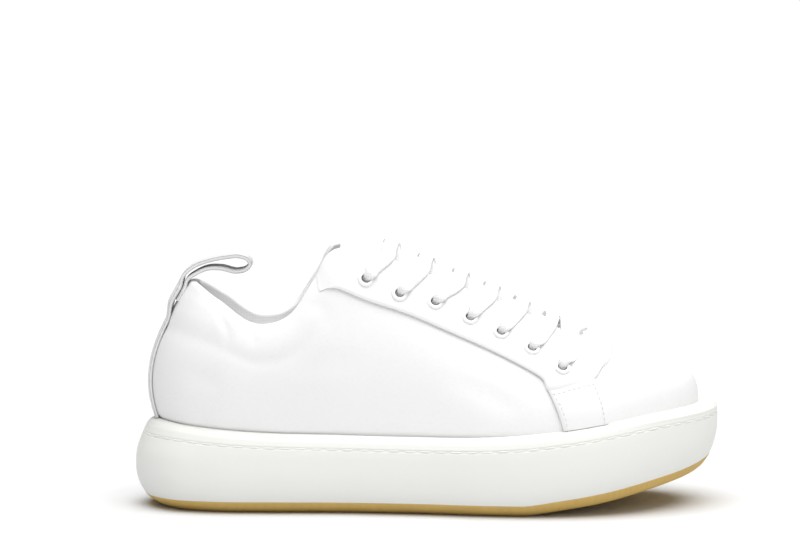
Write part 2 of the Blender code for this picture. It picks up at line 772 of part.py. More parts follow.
def build_eyelets(look, frames):
    """Flanged eyelets, each a ring with a barrel through the facing and the upper."""
    depth = LAYER + LAYER_GAP + WALL
    profile = (
        (EYELET_HOLE_RADIUS + 0.5 * FLANGE_HEIGHT, CLEARANCE + FLANGE_HEIGHT),
        (FLANGE_RADIUS - 0.5 * FLANGE_HEIGHT, CLEARANCE + FLANGE_HEIGHT),
        (FLANGE_RADIUS, CLEARANCE),
        (BARREL_RADIUS, CLEARANCE),
        (BARREL_RADIUS, -depth),
        (EYELET_HOLE_RADIUS, -depth),
    )
    for side, number, base, axis in frames:
        side_name = "lateral" if side < 0 else "medial"
        points = turned(base, axis, profile, EYELET_SIDES)
        faces = ring_faces(len(profile), EYELET_SIDES, closed_loop=True)
        add_object(f"eyelet_{side_name}_{number}", points, faces, look)


def punch_holes(bodies, frames, look):
    """Cut the eyelets' holes through the given layers."""
    radius = (BARREL_RADIUS + CLEARANCE) / math.cos(math.pi / EYELET_SIDES)
    depth = LAYER + LAYER_GAP + 2 * COLLAR_WALL
    points = []
    faces = []
    for _, _, base, axis in frames:
        first = len(points)
        points += turned(base, axis, ((radius, -depth), (radius, FLANGE_RADIUS)), EYELET_SIDES)
        for face in ring_faces(2, EYELET_SIDES):
            faces.append(tuple(first + i for i in face))
        faces.append(tuple(range(first, first + EYELET_SIDES)))
        faces.append(tuple(range(first + EYELET_SIDES, first + 2 * EYELET_SIDES)))
    punch = add_object("hole_cutter", points, faces, look)
    hide_cutter(punch)
    for body in bodies:
        cut(body, punch)


def ribbon_rows(path):
    """Corner points along a flat lace, from points and surface normals."""
    rows = []
    for k, (point, normal) in enumerate(path):
        before = path[max(k - 1, 0)][0]
        after = path[min(k + 1, len(path) - 1)][0]
        side = unit(np.cross(normal, after - before)) * 0.5 * LACE_WIDTH
        high = normal * 0.5 * LACE_THICKNESS
        rows.append([point - side - high, point + side - high, point + side + high, point - side + high])
    return rows


def ribbon(name, path, look):
    """A flat lace along a path."""
    rows = ribbon_rows(path)
    points = [point for row in rows for point in row]
    faces = ring_faces(len(rows), 4)
    faces.append((0, 1, 2, 3))
    faces.append(tuple(len(points) - 4 + i for i in range(4)))
    return add_object(name, points, faces, look)


def station_at(x, across):
    """Station whose cross-section over the instep passes x at that distance across."""
    low, high = THROAT_SEARCH
    for _ in range(24):
        middle = (low + high) / 2
        if throat_line(middle, across)[0] < x:
            low = middle
        else:
            high = middle
    return (low + high) / 2


def lace_path(x_start, reach, acrosses, course, steps):
    """Lace over the throat. course gives its lift and its share of the reach by distance across."""
    path = []
    turn = 1 if acrosses[1] > acrosses[0] else -1
    for u in np.linspace(0.0, 1.0, steps):
        across = acrosses[0] + (acrosses[1] - acrosses[0]) * u
        lift, share = smooth(course, across * turn)
        station = station_at(x_start + reach * share, across)
        point = throat_point(station, across, lift)
        normal = unit(throat_point(station, across, lift + LACE_THICKNESS) - point)
        path.append((point, normal))
    return path


def lace_start(s, t):
    """Distance across, beyond an eyelet's flange, where its lace starts."""
    centre = rib(s, t)
    while np.linalg.norm(rib(s, t) - centre) < LACE_START:
        t += 0.002
    return -1.0 - (1.0 - t) / FLAP_SHARE


def build_laces(look, spots):
    """A bar at the lowest eyelets and a crossing between each pair of rows above it."""
    on_flap = 2 * LAYER_GAP + LAYER + 0.5 * LACE_THICKNESS
    on_tongue = CLEARANCE + 0.5 * LACE_THICKNESS - WALL - LAYER_GAP
    # Columns: distance across, lift and share of the way to the next eyelet, from the flange to
    # where the lace tucks in under the other flap.
    over = (
        (-1.60, on_flap, 0.00),
        (-1.00, on_flap, 0.48),
        (-0.60, 0.55 * on_flap, 0.62),
        (0.00, 0.10 * on_flap, 0.76),
        (0.50, 0.70 * on_tongue, 0.86),
        (0.85, on_tongue, 0.92),
    )
    flat = ((-1.60, on_flap, 0.0), (0.00, on_flap, 0.0), (1.60, on_flap, 0.0))
    places_x = [rib(s, t)[0] for s, t in spots]
    starts = [lace_start(s, t) for s, t in spots]
    for k in range(len(spots) - 1):
        step = places_x[k + 1] - places_x[k]
        left = lace_path(places_x[k], step, (starts[k], LACE_TUCK), over, CROSSING_ROWS)
        right = lace_path(places_x[k], step, (-starts[k], -LACE_TUCK), over, CROSSING_ROWS)
        left_body = ribbon(f"lace_crossing_{k + 1}", left, look)
        right_body = ribbon(f"lace_under_{k + 1}", right, look)
        join = left_body.modifiers.new("join", "BOOLEAN")
        join.operation = "UNION"
        join.object = right_body
        hide_cutter(right_body)
    x_bar = places_x[-1] + LACE_WIDTH / 3
    bar = lace_path(x_bar, 0.0, (starts[-1], -starts[-1]), flat, BAR_ROWS)
    ribbon("lace_bar", bar, look)


def heel_place(y, t):
    """Place around the shoe, near the heel, where the upper lies at y."""
    low, high = 0.0, 0.2
    for _ in range(20):
        middle = (low + high) / 2
        if abs(rib(middle, t)[1]) < abs(y):
            low = middle
        else:
            high = middle
    return middle if y < 0 else 2.0 - middle


def strap_row(t, lift):
    """Outer and inner points across the strap where it lies on the heel."""
    outer = []
    inner = []
    for part in STRAP_COLUMNS:
        s = heel_place(0.5 * STRAP_WIDTH * part, t) if part else 0.0
        outer.append(upper_point(s, t, lift + STRAP_THICKNESS))
        inner.append(upper_point(s, t, lift))
    return outer, inner


def loop_row(before, point, after, sag):
    """Outer and inner points across the pull loop, with its sides sagging forward."""
    along = unit(after - before)
    normal = np.array((-along[2], 0.0, along[0]))
    outer = []
    inner = []
    for part in STRAP_COLUMNS:
        spot = point + np.array((sag * part * part, 0.5 * STRAP_WIDTH * part, 0.0))
        outer.append(spot + normal * 0.5 * STRAP_THICKNESS)
        inner.append(spot - normal * 0.5 * STRAP_THICKNESS)
    return outer, inner


def build_strap(look):
    """Heel strip and pull loop, one ribbon: up the heel, round the loop and down under itself."""
    under = LAYER_GAP
    over = under + STRAP_THICKNESS + LAYER_GAP
    base = sole_levels(rib(0.0, 0.0)[0])[1] + 2 * CLEARANCE
    low = next(t for t in np.linspace(0.0, 0.2, 101) if rib(0.0, t)[2] > base)
    rows = []
    for t in np.linspace(low, STRAP_TOP, STRAP_ROWS):
        rows.append(strap_row(t, under + (over - under) * blend(*STRAP_LIFT, t)))
    back = [strap_row(t, under) for t in np.linspace(STRAP_TOP, STRAP_END, 3)]
    start = 0.5 * (rows[-1][0][2] + rows[-1][1][2])
    end = 0.5 * (back[0][0][2] + back[0][1][2])
    sag = rows[-1][0][0][0] - rows[-1][0][2][0]
    loop = [start]
    edge = rib(0.0, 1.0)
    for forward, up in LOOP_LINE:
        loop.append(np.array((start[0] + forward * LOOP_LENGTH, 0.0, edge[2] + up * LOOP_RISE)))
    loop.append(end)
    for k in range(1, len(loop) - 1):
        near = min(k, len(loop) - 1 - k)
        fade = 0.5 if near == 1 else 0.0
        rows.append(loop_row(loop[k - 1], loop[k], loop[k + 1], sag * fade))
    # On the way down the ribbon's outer side is the one that faces the shoe.
    rows += [(inner, outer) for outer, inner in back]
    return shell("heel_strap", [row[0] for row in rows], [row[1] for row in rows], look)


def clear_scene():
    """Remove whatever the scene holds."""
    for item in list(bpy.data.objects):
        bpy.data.objects.remove(item, do_unlink=True)


def main():
    """Build every piece of the shoe."""
    clear_scene()
    gum = material("gum_rubber", (0.52, 0.33, 0.17), 0.6)
    foam = material("sole_rubber", (0.86, 0.85, 0.80), 0.5)
    lining = material("footbed", (0.80, 0.79, 0.76), 0.9)
    leather = material("leather", (0.88, 0.88, 0.88), 0.45)
    layer_leather = material("layer_leather", (0.84, 0.84, 0.84), 0.45)
    webbing = material("strap_webbing", (0.78, 0.78, 0.78), 0.7)
    padded = material("tongue_leather", (0.86, 0.86, 0.86), 0.5)
    enamel = material("eyelet_enamel", (0.90, 0.90, 0.90), 0.3)
    cotton = material("lace_cotton", (0.92, 0.92, 0.92), 0.9)

    build_outsole(gum)
    build_midsole(foam)
    build_insole(lining)
    upper = build_upper(leather)
    edge = facing_table()
    facing = build_facing(layer_leather, edge)
    build_panel("side_panel_lateral", -1, layer_leather, edge)
    build_panel("side_panel_medial", 1, layer_leather, edge)
    build_tongue(padded)
    build_strap(webbing)
    eyelet_spots = [locate((share - 0.5) * SOLE_LENGTH, SOLE_HEIGHT + height) for share, height in EYELETS]
    frames = eyelet_frames(eyelet_spots)
    build_eyelets(enamel, frames)
    punch_holes((upper, facing), frames, leather)
    build_laces(cotton, eyelet_spots)


main()
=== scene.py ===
"""Looks of a platform sneaker: leather, rubber, laces, stitches, floor, light and camera.

The shapes follow the same ribs and outline as the packed solids, read far more finely.
"""

import math

import bmesh
import bpy
import numpy as np
from bpy.props import FloatProperty, FloatVectorProperty, IntProperty, PointerProperty
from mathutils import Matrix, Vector


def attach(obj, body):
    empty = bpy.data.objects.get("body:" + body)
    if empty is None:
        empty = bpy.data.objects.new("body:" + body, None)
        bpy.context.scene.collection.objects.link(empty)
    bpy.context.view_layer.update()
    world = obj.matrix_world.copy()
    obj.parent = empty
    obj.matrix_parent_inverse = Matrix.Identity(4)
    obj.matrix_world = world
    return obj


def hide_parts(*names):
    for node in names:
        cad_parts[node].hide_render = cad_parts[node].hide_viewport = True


bl_info = {
    "name": "Platform sneaker looks",
    "version": (1, 0, 0),
    "blender": (4, 5, 0),
    "location": "View3D > Sidebar > Sneaker",
    "description": "Dresses the packed platform sneaker in leather, rubber, laces and stitches",
    "category": "Object",
}

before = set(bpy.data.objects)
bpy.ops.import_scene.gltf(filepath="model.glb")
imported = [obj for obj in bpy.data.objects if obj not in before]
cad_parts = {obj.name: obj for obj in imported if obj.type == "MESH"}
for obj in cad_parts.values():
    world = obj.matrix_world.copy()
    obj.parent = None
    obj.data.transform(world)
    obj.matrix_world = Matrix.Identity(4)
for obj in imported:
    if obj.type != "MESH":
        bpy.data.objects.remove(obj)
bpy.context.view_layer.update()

# Sizes of the packed solids
SOLE_LENGTH = 0.282
BALL_WIDTH = 0.1015
WAIST_WIDTH = 0.075
HEEL_WIDTH = 0.075
SOLE_HEIGHT = 0.0367
HEEL_LIFT = 0.0057
TOE_LIFT = 0.0123
TOE_SPRING = 0.019
SIDE_BULGE = 0.010
OUTSOLE_THICKNESS = 0.0058
OUTSOLE_ROUNDING = 0.0012
CUP_DEPTH = 0.009
TREAD_WIDTH = 0.003
TREAD_DEPTH = 0.0012
TREAD_PITCH = 0.012
TREAD_MARGIN = 0.020
INSOLE_THICKNESS = 0.004
HEEL_HEIGHT = 0.0708
DIP_HEIGHT = 0.0520
INSTEP_HEIGHT = 0.0885
VAMP_HEIGHT = 0.0380
COLLAR_WIDTH = 0.058
THROAT_WIDTH = 0.025
WALL = 0.0020
COLLAR_WALL = 0.0050
LAYER = 0.0014
LAYER_GAP = 0.00055
CLEARANCE = 0.0003
PANEL_INSET = 0.0006
TONGUE_THICKNESS = 0.0032
STRAP_WIDTH = 0.015
STRAP_THICKNESS = 0.0018
LOOP_LENGTH = 0.0350
LOOP_RISE = 0.0130
LACE_WIDTH = 0.0070
LACE_THICKNESS = 0.0013
FLANGE_RADIUS = 0.0041
FLANGE_HEIGHT = 0.0008
BARREL_RADIUS = 0.00255
EYELET_HOLE_RADIUS = 0.0021

# Columns: share of the sole's length, width that the row follows, share of that width.
OUTLINE = (
    (0.000, HEEL_WIDTH, 0.000),
    (0.020, HEEL_WIDTH, -0.258),
    (0.060, HEEL_WIDTH, -0.408),
    (0.130, HEEL_WIDTH, -0.492),
    (0.220, HEEL_WIDTH, -0.512),
    (0.350, WAIST_WIDTH, -0.520),
    (0.480, WAIST_WIDTH, -0.572),
    (0.600, BALL_WIDTH, -0.482),
    (0.680, BALL_WIDTH, -0.500),
    (0.770, BALL_WIDTH, -0.481),
    (0.860, BALL_WIDTH, -0.402),
    (0.930, BALL_WIDTH, -0.275),
    (0.980, BALL_WIDTH, -0.110),
    (1.000, BALL_WIDTH, 0.070),
    (0.985, BALL_WIDTH, 0.245),
    (0.940, BALL_WIDTH, 0.365),
    (0.870, BALL_WIDTH, 0.450),
    (0.780, BALL_WIDTH, 0.495),
    (0.700, BALL_WIDTH, 0.498),
    (0.600, BALL_WIDTH, 0.455),
    (0.480, WAIST_WIDTH, 0.522),
    (0.360, WAIST_WIDTH, 0.482),
    (0.240, HEEL_WIDTH, 0.492),
    (0.140, HEEL_WIDTH, 0.484),
    (0.060, HEEL_WIDTH, 0.396),
    (0.020, HEEL_WIDTH, 0.250),
)

# Columns: share of length, bottom as a share of the toe spring, top above SOLE_HEIGHT.
LEVELS = (
    (0.000, 0.00, 1.04 * HEEL_LIFT),
    (0.050, 0.00, 0.97 * HEEL_LIFT),
    (0.113, 0.00, 0.70 * HEEL_LIFT),
    (0.216, 0.00, 0.33 * HEEL_LIFT),
    (0.333, 0.00, 0.17 * HEEL_LIFT),
    (0.454, 0.00, 0.08 * HEEL_LIFT),
    (0.589, 0.00, 0.08 * TOE_LIFT),
    (0.660, 0.00, 0.19 * TOE_LIFT),
    (0.720, 0.13, 0.34 * TOE_LIFT),
    (0.794, 0.30, 0.58 * TOE_LIFT),
    (0.879, 0.56, 0.87 * TOE_LIFT),
    (0.950, 0.78, 0.98 * TOE_LIFT),
    (1.000, 1.00, 1.02 * TOE_LIFT),
)

# Side of the sole. Columns: share of its height, then shares of SIDE_BULGE at heel, sides, toe.
SIDE_PROFILE = (
    (0.000, 1.25, 0.95, 1.18),
    (0.040, 0.98, 0.72, 0.80),
    (0.110, 0.56, 0.40, 0.53),
    (0.180, 0.33, 0.23, 0.38),
    (0.270, 0.15, 0.10, 0.25),
    (0.400, 0.02, 0.02, 0.11),
    (0.520, 0.02, 0.00, 0.04),
    (0.640, 0.07, 0.02, 0.01),
    (0.780, 0.28, 0.07, 0.00),
    (0.880, 0.46, 0.16, 0.02),
    (0.945, 0.62, 0.30, 0.08),
    (0.985, 0.86, 0.52, 0.40),
    (1.000, 1.10, 0.75, 0.95),
)
GROOVE_CENTRE = 0.835
GROOVE_HALF = 0.022
HEEL_FADE = (0.00, 0.20)
TOE_FADE = (0.76, 1.00)

# Columns: share of the half outline, edge's share of length, half width of the opening, edge's
# height, rise and outward lean in degrees at the sole, reach and fall in degrees at the edge.
RIBS = (
    (0.00, 0.094, 0.00 * COLLAR_WIDTH, 1.00 * HEEL_HEIGHT, 0.38 * HEEL_HEIGHT, 20, 0.35 * HEEL_HEIGHT, 60),
    (0.09, 0.112, 0.29 * COLLAR_WIDTH, 0.97 * HEEL_HEIGHT, 0.37 * HEEL_HEIGHT, 17, 0.34 * HEEL_HEIGHT, 64),
    (0.17, 0.152, 0.44 * COLLAR_WIDTH, 0.88 * HEEL_HEIGHT, 0.35 * HEEL_HEIGHT, 12, 0.32 * HEEL_HEIGHT, 68),
    (0.25, 0.215, 0.50 * COLLAR_WIDTH, 1.00 * DIP_HEIGHT, 0.42 * DIP_HEIGHT, 9, 0.38 * DIP_HEIGHT, 72),
    (0.31, 0.268, 0.49 * COLLAR_WIDTH, 1.09 * DIP_HEIGHT, 0.42 * DIP_HEIGHT, 6, 0.38 * DIP_HEIGHT, 68),
    (0.36, 0.306, 0.42 * COLLAR_WIDTH, 0.82 * INSTEP_HEIGHT,
     0.30 * INSTEP_HEIGHT, 3, 0.28 * INSTEP_HEIGHT, 63),
    (0.41, 0.343, 0.72 * THROAT_WIDTH, 0.99 * INSTEP_HEIGHT,
     0.32 * INSTEP_HEIGHT, 0, 0.29 * INSTEP_HEIGHT, 57),
    (0.46, 0.410, 0.56 * THROAT_WIDTH, 0.955 * INSTEP_HEIGHT,
     0.32 * INSTEP_HEIGHT, -2, 0.29 * INSTEP_HEIGHT, 52),
    (0.55, 0.535, 0.50 * THROAT_WIDTH, 0.800 * INSTEP_HEIGHT,
     0.29 * INSTEP_HEIGHT, -3, 0.27 * INSTEP_HEIGHT, 48),
    (0.63, 0.635, 0.48 * THROAT_WIDTH, 0.672 * INSTEP_HEIGHT,
     0.26 * INSTEP_HEIGHT, -3, 0.26 * INSTEP_HEIGHT, 43),
    (0.71, 0.712, 0.45 * THROAT_WIDTH, 0.556 * INSTEP_HEIGHT,
     0.25 * INSTEP_HEIGHT, -2, 0.27 * INSTEP_HEIGHT, 38),
    (0.79, 0.752, 0.36 * THROAT_WIDTH, 1.16 * VAMP_HEIGHT, 0.54 * VAMP_HEIGHT, 0, 0.66 * VAMP_HEIGHT, 33),
    (0.90, 0.768, 0.18 * THROAT_WIDTH, 1.20 * VAMP_HEIGHT, 0.58 * VAMP_HEIGHT, 3, 0.74 * VAMP_HEIGHT, 26),
    (1.00, 0.771, 0.00 * THROAT_WIDTH, 1.22 * VAMP_HEIGHT, 0.62 * VAMP_HEIGHT, 6, 0.80 * VAMP_HEIGHT, 22),
)
RIB_SIGNS = (1, 1, -1, 1, 1, 1, 1, 1)
PADDING_ENDS = (0.34, 0.42)
PADDING_STARTS = (0.55, 0.85)
TONGUE_SPAN = (0.430, 0.860)
FLAP_SHARE = 0.40
THROAT_SEARCH = (0.36, 0.98)

# Shift of the throat's middle to the medial side. Columns: share of length, shift.
CENTRE_LINE = ((0.00, 0.000), (0.30, 0.000), (0.50, 0.001), (0.77, 0.004), (1.00, 0.007))

# Columns: share of length, height above the sole's top, the rib that it faces at the throat.
FACING_EDGE = (
    (0.318, 0.775 * INSTEP_HEIGHT, 0.370),
    (0.337, 0.793 * INSTEP_HEIGHT, 0.395),
    (0.372, 0.757 * INSTEP_HEIGHT, 0.430),
    (0.425, 0.694 * INSTEP_HEIGHT, 0.475),
    (0.480, 0.632 * INSTEP_HEIGHT, 0.520),
    (0.545, 0.542 * INSTEP_HEIGHT, 0.575),
    (0.630, 0.421 * INSTEP_HEIGHT, 0.640),
    (0.682, 0.335 * INSTEP_HEIGHT, 0.690),
    (0.693, 0.308 * INSTEP_HEIGHT, 0.715),
    (0.700, 0.264 * INSTEP_HEIGHT, 0.740),
    (0.745, 0.282 * INSTEP_HEIGHT, 0.790),
    (0.778, 0.305 * INSTEP_HEIGHT, 0.850),
    (0.800, 0.370 * INSTEP_HEIGHT, 0.920),
)
FACING_FRONT = 0.815
FACING_RIM = 0.995
PANEL_FOOT = (0.726, 0.800)
PANEL_HEAD = (0.740, 0.850)

# Eyelets on the lateral side, top to bottom. Columns: share of length, height above the sole.
EYELETS = (
    (0.394, 0.832 * INSTEP_HEIGHT),
    (0.451, 0.753 * INSTEP_HEIGHT),
    (0.511, 0.704 * INSTEP_HEIGHT),
    (0.570, 0.621 * INSTEP_HEIGHT),
    (0.622, 0.543 * INSTEP_HEIGHT),
    (0.674, 0.458 * INSTEP_HEIGHT),
    (0.725, 0.359 * INSTEP_HEIGHT),
)

# Middle line of the pull loop. Columns: share of its length forward, share of its rise.
LOOP_LINE = (
    (0.11, 0.36),
    (0.26, 0.66),
    (0.40, 0.80),
    (0.66, 0.95),
    (0.86, 0.98),
    (0.96, 0.88),
    (1.00, 0.69),
    (0.94, 0.50),
    (0.82, 0.42),
    (0.59, 0.54),
    (0.42, 0.53),
    (0.25, 0.34),
    (0.150, 0.15),
)
STRAP_TOP = 0.94
STRAP_END = 0.86

# Soft creases of the leather, each a line on the upper.
# Columns: place around and share up the rib where it starts, and where it ends, depth and half
# width in millimetres. A place up to 1 is lateral, and past 1 medial.
CREASES = (
    (0.155, 0.97, 0.185, 0.70, 0.55, 2.6),
    (0.215, 0.99, 0.225, 0.80, 0.35, 2.8),
    (0.105, 0.40, 0.190, 0.30, 0.40, 6.0),
    (0.335, 0.92, 0.372, 0.62, 0.50, 5.0),
    (0.300, 0.55, 0.400, 0.34, 0.45, 8.0),
    (0.520, 0.36, 0.620, 0.14, 0.50, 7.0),
    (0.600, 0.44, 0.690, 0.24, 0.45, 6.0),
    (0.800, 0.52, 0.870, 0.20, 0.35, 4.0),
    (0.845, 0.66, 0.930, 0.42, 0.30, 4.0),
    (0.945, 0.72, 1.060, 0.71, 0.30, 3.2),
    (1.145, 0.66, 1.080, 0.44, 0.30, 4.0),
    (1.200, 0.52, 1.130, 0.22, 0.35, 4.0),
    (1.395, 0.42, 1.320, 0.22, 0.45, 6.0),
    (1.480, 0.36, 1.390, 0.14, 0.45, 7.0),
    (1.690, 0.58, 1.600, 0.36, 0.45, 8.0),
    (1.640, 0.90, 1.620, 0.64, 0.45, 5.0),
    (1.780, 0.98, 1.770, 0.78, 0.40, 3.0),
    (1.850, 0.96, 1.820, 0.68, 0.50, 2.6),
)


def smooth(rows, place):
    """Read a table at one place or many: a cubic through its rows, whose first column is the place."""
    table = np.array(rows, dtype=float)
    knots = table[:, 0]
    values = table[:, 1:]
    slopes = np.gradient(values, knots, axis=0)
    place = np.clip(np.asarray(place, dtype=float), knots[0], knots[-1])
    k = np.clip(np.searchsorted(knots, place) - 1, 0, len(knots) - 2)
    span = (knots[k + 1] - knots[k])[..., None]
    u = (place[..., None] - knots[k][..., None]) / span
    start = (1 + 2 * u) * (1 - u) ** 2 * values[k] + u * (1 - u) ** 2 * span * slopes[k]
    end = u * u * (3 - 2 * u) * values[k + 1] - u * u * (1 - u) * span * slopes[k + 1]
    return start + end


def unit(vectors):
    """Vectors scaled to length 1."""
    return vectors / np.maximum(np.linalg.norm(vectors, axis=-1, keepdims=True), 1e-12)


def blend(low, high, value):
    """Rise smoothly from 0 at low to 1 at high."""
    u = np.clip((value - low) / (high - low), 0.0, 1.0)
    return u * u * (3 - 2 * u)


def stack(*parts):
    """Join coordinates into points."""
    return np.stack(np.broadcast_arrays(*parts), axis=-1)


def length_share(x):
    """Share of the sole's length at x."""
    return x / SOLE_LENGTH + 0.5


def trace_outline():
    """Trace the plan outline: run, x and y of the lateral and of the medial half."""
    points = np.array([((share - 0.5) * SOLE_LENGTH, part * width) for share, width, part in OUTLINE])
    count = len(points)
    wrapped = np.vstack([points[-3:], points, points[:4]])
    distance = np.concatenate([[0.0], np.cumsum(np.linalg.norm(np.diff(wrapped, axis=0), axis=1))])
    rows = np.column_stack([distance, wrapped])
    toe = max(range(count), key=lambda i: points[i][0])
    halves = {}
    for side, first, last in ((-1, 3, 3 + toe), (1, 3 + count, 3 + toe)):
        line = smooth(rows, np.linspace(distance[first], distance[last], 2400))
        run = np.concatenate([[0.0], np.cumsum(np.linalg.norm(np.diff(line, axis=0), axis=1))])
        halves[side] = np.column_stack([run / run[-1], line])
    return halves


HALVES = trace_outline()


def outline_spot(s):
    """Point of the plan outline at places around the shoe: 0 heel, 1 toe, 2 heel again."""
    s = np.mod(s, 2.0)
    share = np.where(s <= 1.0, s, 2.0 - s)
    spots = [[np.interp(share, HALVES[side][:, 0], HALVES[side][:, i]) for i in (1, 2)] for side in (-1, 1)]
    return stack(*(np.where(s <= 1.0, spots[0][i], spots[1][i]) for i in (0, 1)))


def outline(s):
    """Points and outward normals of the plan outline."""
    s = np.asarray(s, dtype=float)
    along = unit(outline_spot(s + 0.004) - outline_spot(s - 0.004))
    return outline_spot(s), stack(along[..., 1], -along[..., 0])


def sole_levels(x):
    """Heights of the sole's bottom and top edge at x."""
    rows = smooth(LEVELS, length_share(x))
    return np.maximum(rows[..., 0], 0.0) * TOE_SPRING, SOLE_HEIGHT + rows[..., 1]


def inset(height_share, x):
    """How far the sole's side lies inside the plan outline."""
    rows = smooth(SIDE_PROFILE, height_share)
    heel, side, toe = rows[..., 0], rows[..., 1], rows[..., 2]
    share = length_share(x)
    at_heel = 1 - blend(*HEEL_FADE, share)
    at_toe = blend(*TOE_FADE, share)
    return SIDE_BULGE * (side + (heel - side) * at_heel + (toe - side) * at_toe)


def sole_point(s, height_share, extra=0.0, lift=0.0):
    """Points of the sole's side, moved inward by extra and up by lift."""
    spot, out = outline(s)
    height_share = np.asarray(height_share, dtype=float)
    spot = spot - out * (inset(height_share, spot[..., 0]) + extra)[..., None]
    bottom, top = sole_levels(spot[..., 0])
    return stack(spot[..., 0], spot[..., 1], bottom + height_share * (top - bottom) + lift)


def mirrored_ribs():
    """The rib table for a whole turn and a little over, with the widths signed by side."""
    half = [np.array(row, dtype=float) for row in RIBS]
    rows = [row * np.array(RIB_SIGNS, dtype=float) for row in half]
    back = [np.concatenate([[2.0 - row[0]], row[1:]]) for row in reversed(half[1:-1])]
    turn = rows + back
    before = [np.concatenate([[row[0] - 2.0], row[1:]]) for row in turn[-3:]]
    after = [np.concatenate([[row[0] + 2.0], row[1:]]) for row in turn[:3]]
    return before + turn + after


RIB_TABLE = mirrored_ribs()


def rib(s, t):
    """Points of the upper's outer face, from the sole (t 0) to the collar or throat (t 1)."""
    s, t = np.broadcast_arrays(np.asarray(s, dtype=float), np.asarray(t, dtype=float))
    row = smooth(RIB_TABLE, np.mod(s, 2.0))
    x_share, half, height, rise, lean, reach, fall = (row[..., i] for i in range(7))
    _, out = outline(s)
    foot = sole_point(s, 1.0)
    edge = stack((x_share - 0.5) * SOLE_LENGTH, smooth(CENTRE_LINE, x_share)[..., 0] + half,
                 SOLE_HEIGHT + height)
    lean, fall = np.radians(lean), np.radians(fall)
    up = stack(out[..., 0] * np.sin(lean), out[..., 1] * np.sin(lean), np.cos(lean))
    down = stack(out[..., 0] * np.cos(fall), out[..., 1] * np.cos(fall), -np.sin(fall))
    first = foot + rise[..., None] * up
    last = edge + reach[..., None] * down
    t = t[..., None]
    u = 1.0 - t
    return u ** 3 * foot + 3 * u * u * t * first + 3 * u * t * t * last + t ** 3 * edge


def crease_lines():
    """The creases as lines in space, each with its depth and half width."""
    lines = []
    for s0, t0, s1, t1, depth, half in CREASES:
        u = np.linspace(0.0, 1.0, 17)
        bow = 0.02 * np.sin(math.pi * u)
        lines.append((rib(s0 + (s1 - s0) * u + bow, t0 + (t1 - t0) * u), depth * 0.001, half * 0.001))
    return lines


def creases(points):
    """How far the creases push the leather out, in metres, at points of the upper."""
    shape = points.shape[:-1]
    flat = points.reshape(-1, 3)
    push = np.zeros(len(flat))
    for line, depth, half in crease_lines():
        near = np.full(len(flat), np.inf)
        taper = np.zeros(len(flat))
        for k, (a, b) in enumerate(zip(line, line[1:])):
            way = b - a
            u = np.clip((flat - a) @ way / (way @ way), 0.0, 1.0)
            away = np.linalg.norm(flat - a - u[:, None] * way, axis=1)
            closer = away < near
            near = np.where(closer, away, near)
            taper = np.where(closer, np.sin(math.pi * (k + u) / (len(line) - 1)), taper)
        q = (near / half) ** 2
        push -= depth * taper * (1 - 0.8 * q) * np.exp(-q)
    return push.reshape(shape)


def normals_at(s, t):
    """Outward normals of the upper's outer face."""
    step = 0.004
    around = rib(s + step, t) - rib(s - step, t)
    along = rib(s, np.minimum(t + step, 1.0)) - rib(s, np.maximum(t - step, 0.0))
    return unit(np.cross(around, along))


def upper_point(s, t, lift=0.0, creased=True):
    """Points of the upper moved outward by lift, with its creases."""
    s, t, lift = np.broadcast_arrays(*(np.asarray(v, dtype=float) for v in (s, t, lift)))
    base = rib(s, t)
    if creased:
        lift = lift + creases(base)
    return base + lift[..., None] * normals_at(s, t)


def wall(s, t):
    """Thickness of the upper's wall: leather, thicker along the padded collar."""
    s = np.mod(s, 2.0)
    share = np.where(s <= 1.0, s, 2.0 - s)
    padding = (1 - blend(*PADDING_ENDS, share)) * blend(*PADDING_STARTS, t)
    return WALL + (COLLAR_WALL - WALL) * padding


def locate(x, z):
    """Find the place on the lateral side that shows at x, z in side view."""
    def miss(s, t):
        return rib(s, t)[..., ::2] - np.array((x, z))

    around, along = np.meshgrid(np.linspace(0.15, 0.98, 84), np.linspace(0.05, 1.0, 40))
    spots = np.column_stack([around.ravel(), along.ravel()])
    spot = spots[np.argmin(np.sum(miss(spots[:, 0], spots[:, 1]) ** 2, axis=1))]
    step = 0.002
    for _ in range(8):
        error = miss(spot[0], spot[1])
        change_s = (miss(spot[0] + step, spot[1]) - error) / step
        change_t = (miss(spot[0], spot[1] - step) - error) / -step
        move = np.linalg.solve(np.column_stack([change_s, change_t]), error)
        spot = spot - np.clip(move, -0.05, 0.05)
        spot[1] = min(max(spot[1], 0.0), 1.0)
    return spot


def throat_line(station, across):
    """Points of the cross-section over the instep: -1 and 1 are the throat's edges."""
    station, across = np.broadcast_arrays(np.asarray(station, dtype=float), np.asarray(across, dtype=float))
    left, right = rib(station, 1.0), rib(2.0 - station, 1.0)
    handle = 0.50 * np.linalg.norm(right - left, axis=-1, keepdims=True)
    rise_left = unit(left - rib(station, 0.97)) * handle
    rise_right = unit(right - rib(2.0 - station, 0.97)) * handle
    u = ((np.clip(across, -1.0, 1.0) + 1.0) / 2.0)[..., None]
    v = 1.0 - u
    middle = (v ** 3 * left + 3 * v * v * u * (left + rise_left)
              + 3 * v * u * u * (right + rise_right) + u ** 3 * right)
    flap = np.minimum(1.0 - (np.abs(across) - 1.0) * FLAP_SHARE, 1.0)
    side = rib(np.where(across < 0, station, 2.0 - station), flap)
    return np.where((np.abs(across) > 1.0)[..., None], side, middle)


def throat_point(station, across, lift=0.0):
    """Points over the instep, moved outward by lift."""
    step = 0.02
    around = throat_line(station + step, across) - throat_line(station - step, across)
    over = throat_line(station, across + step) - throat_line(station, across - step)
    return throat_line(station, across) + np.asarray(lift)[..., None] * unit(np.cross(around, over))


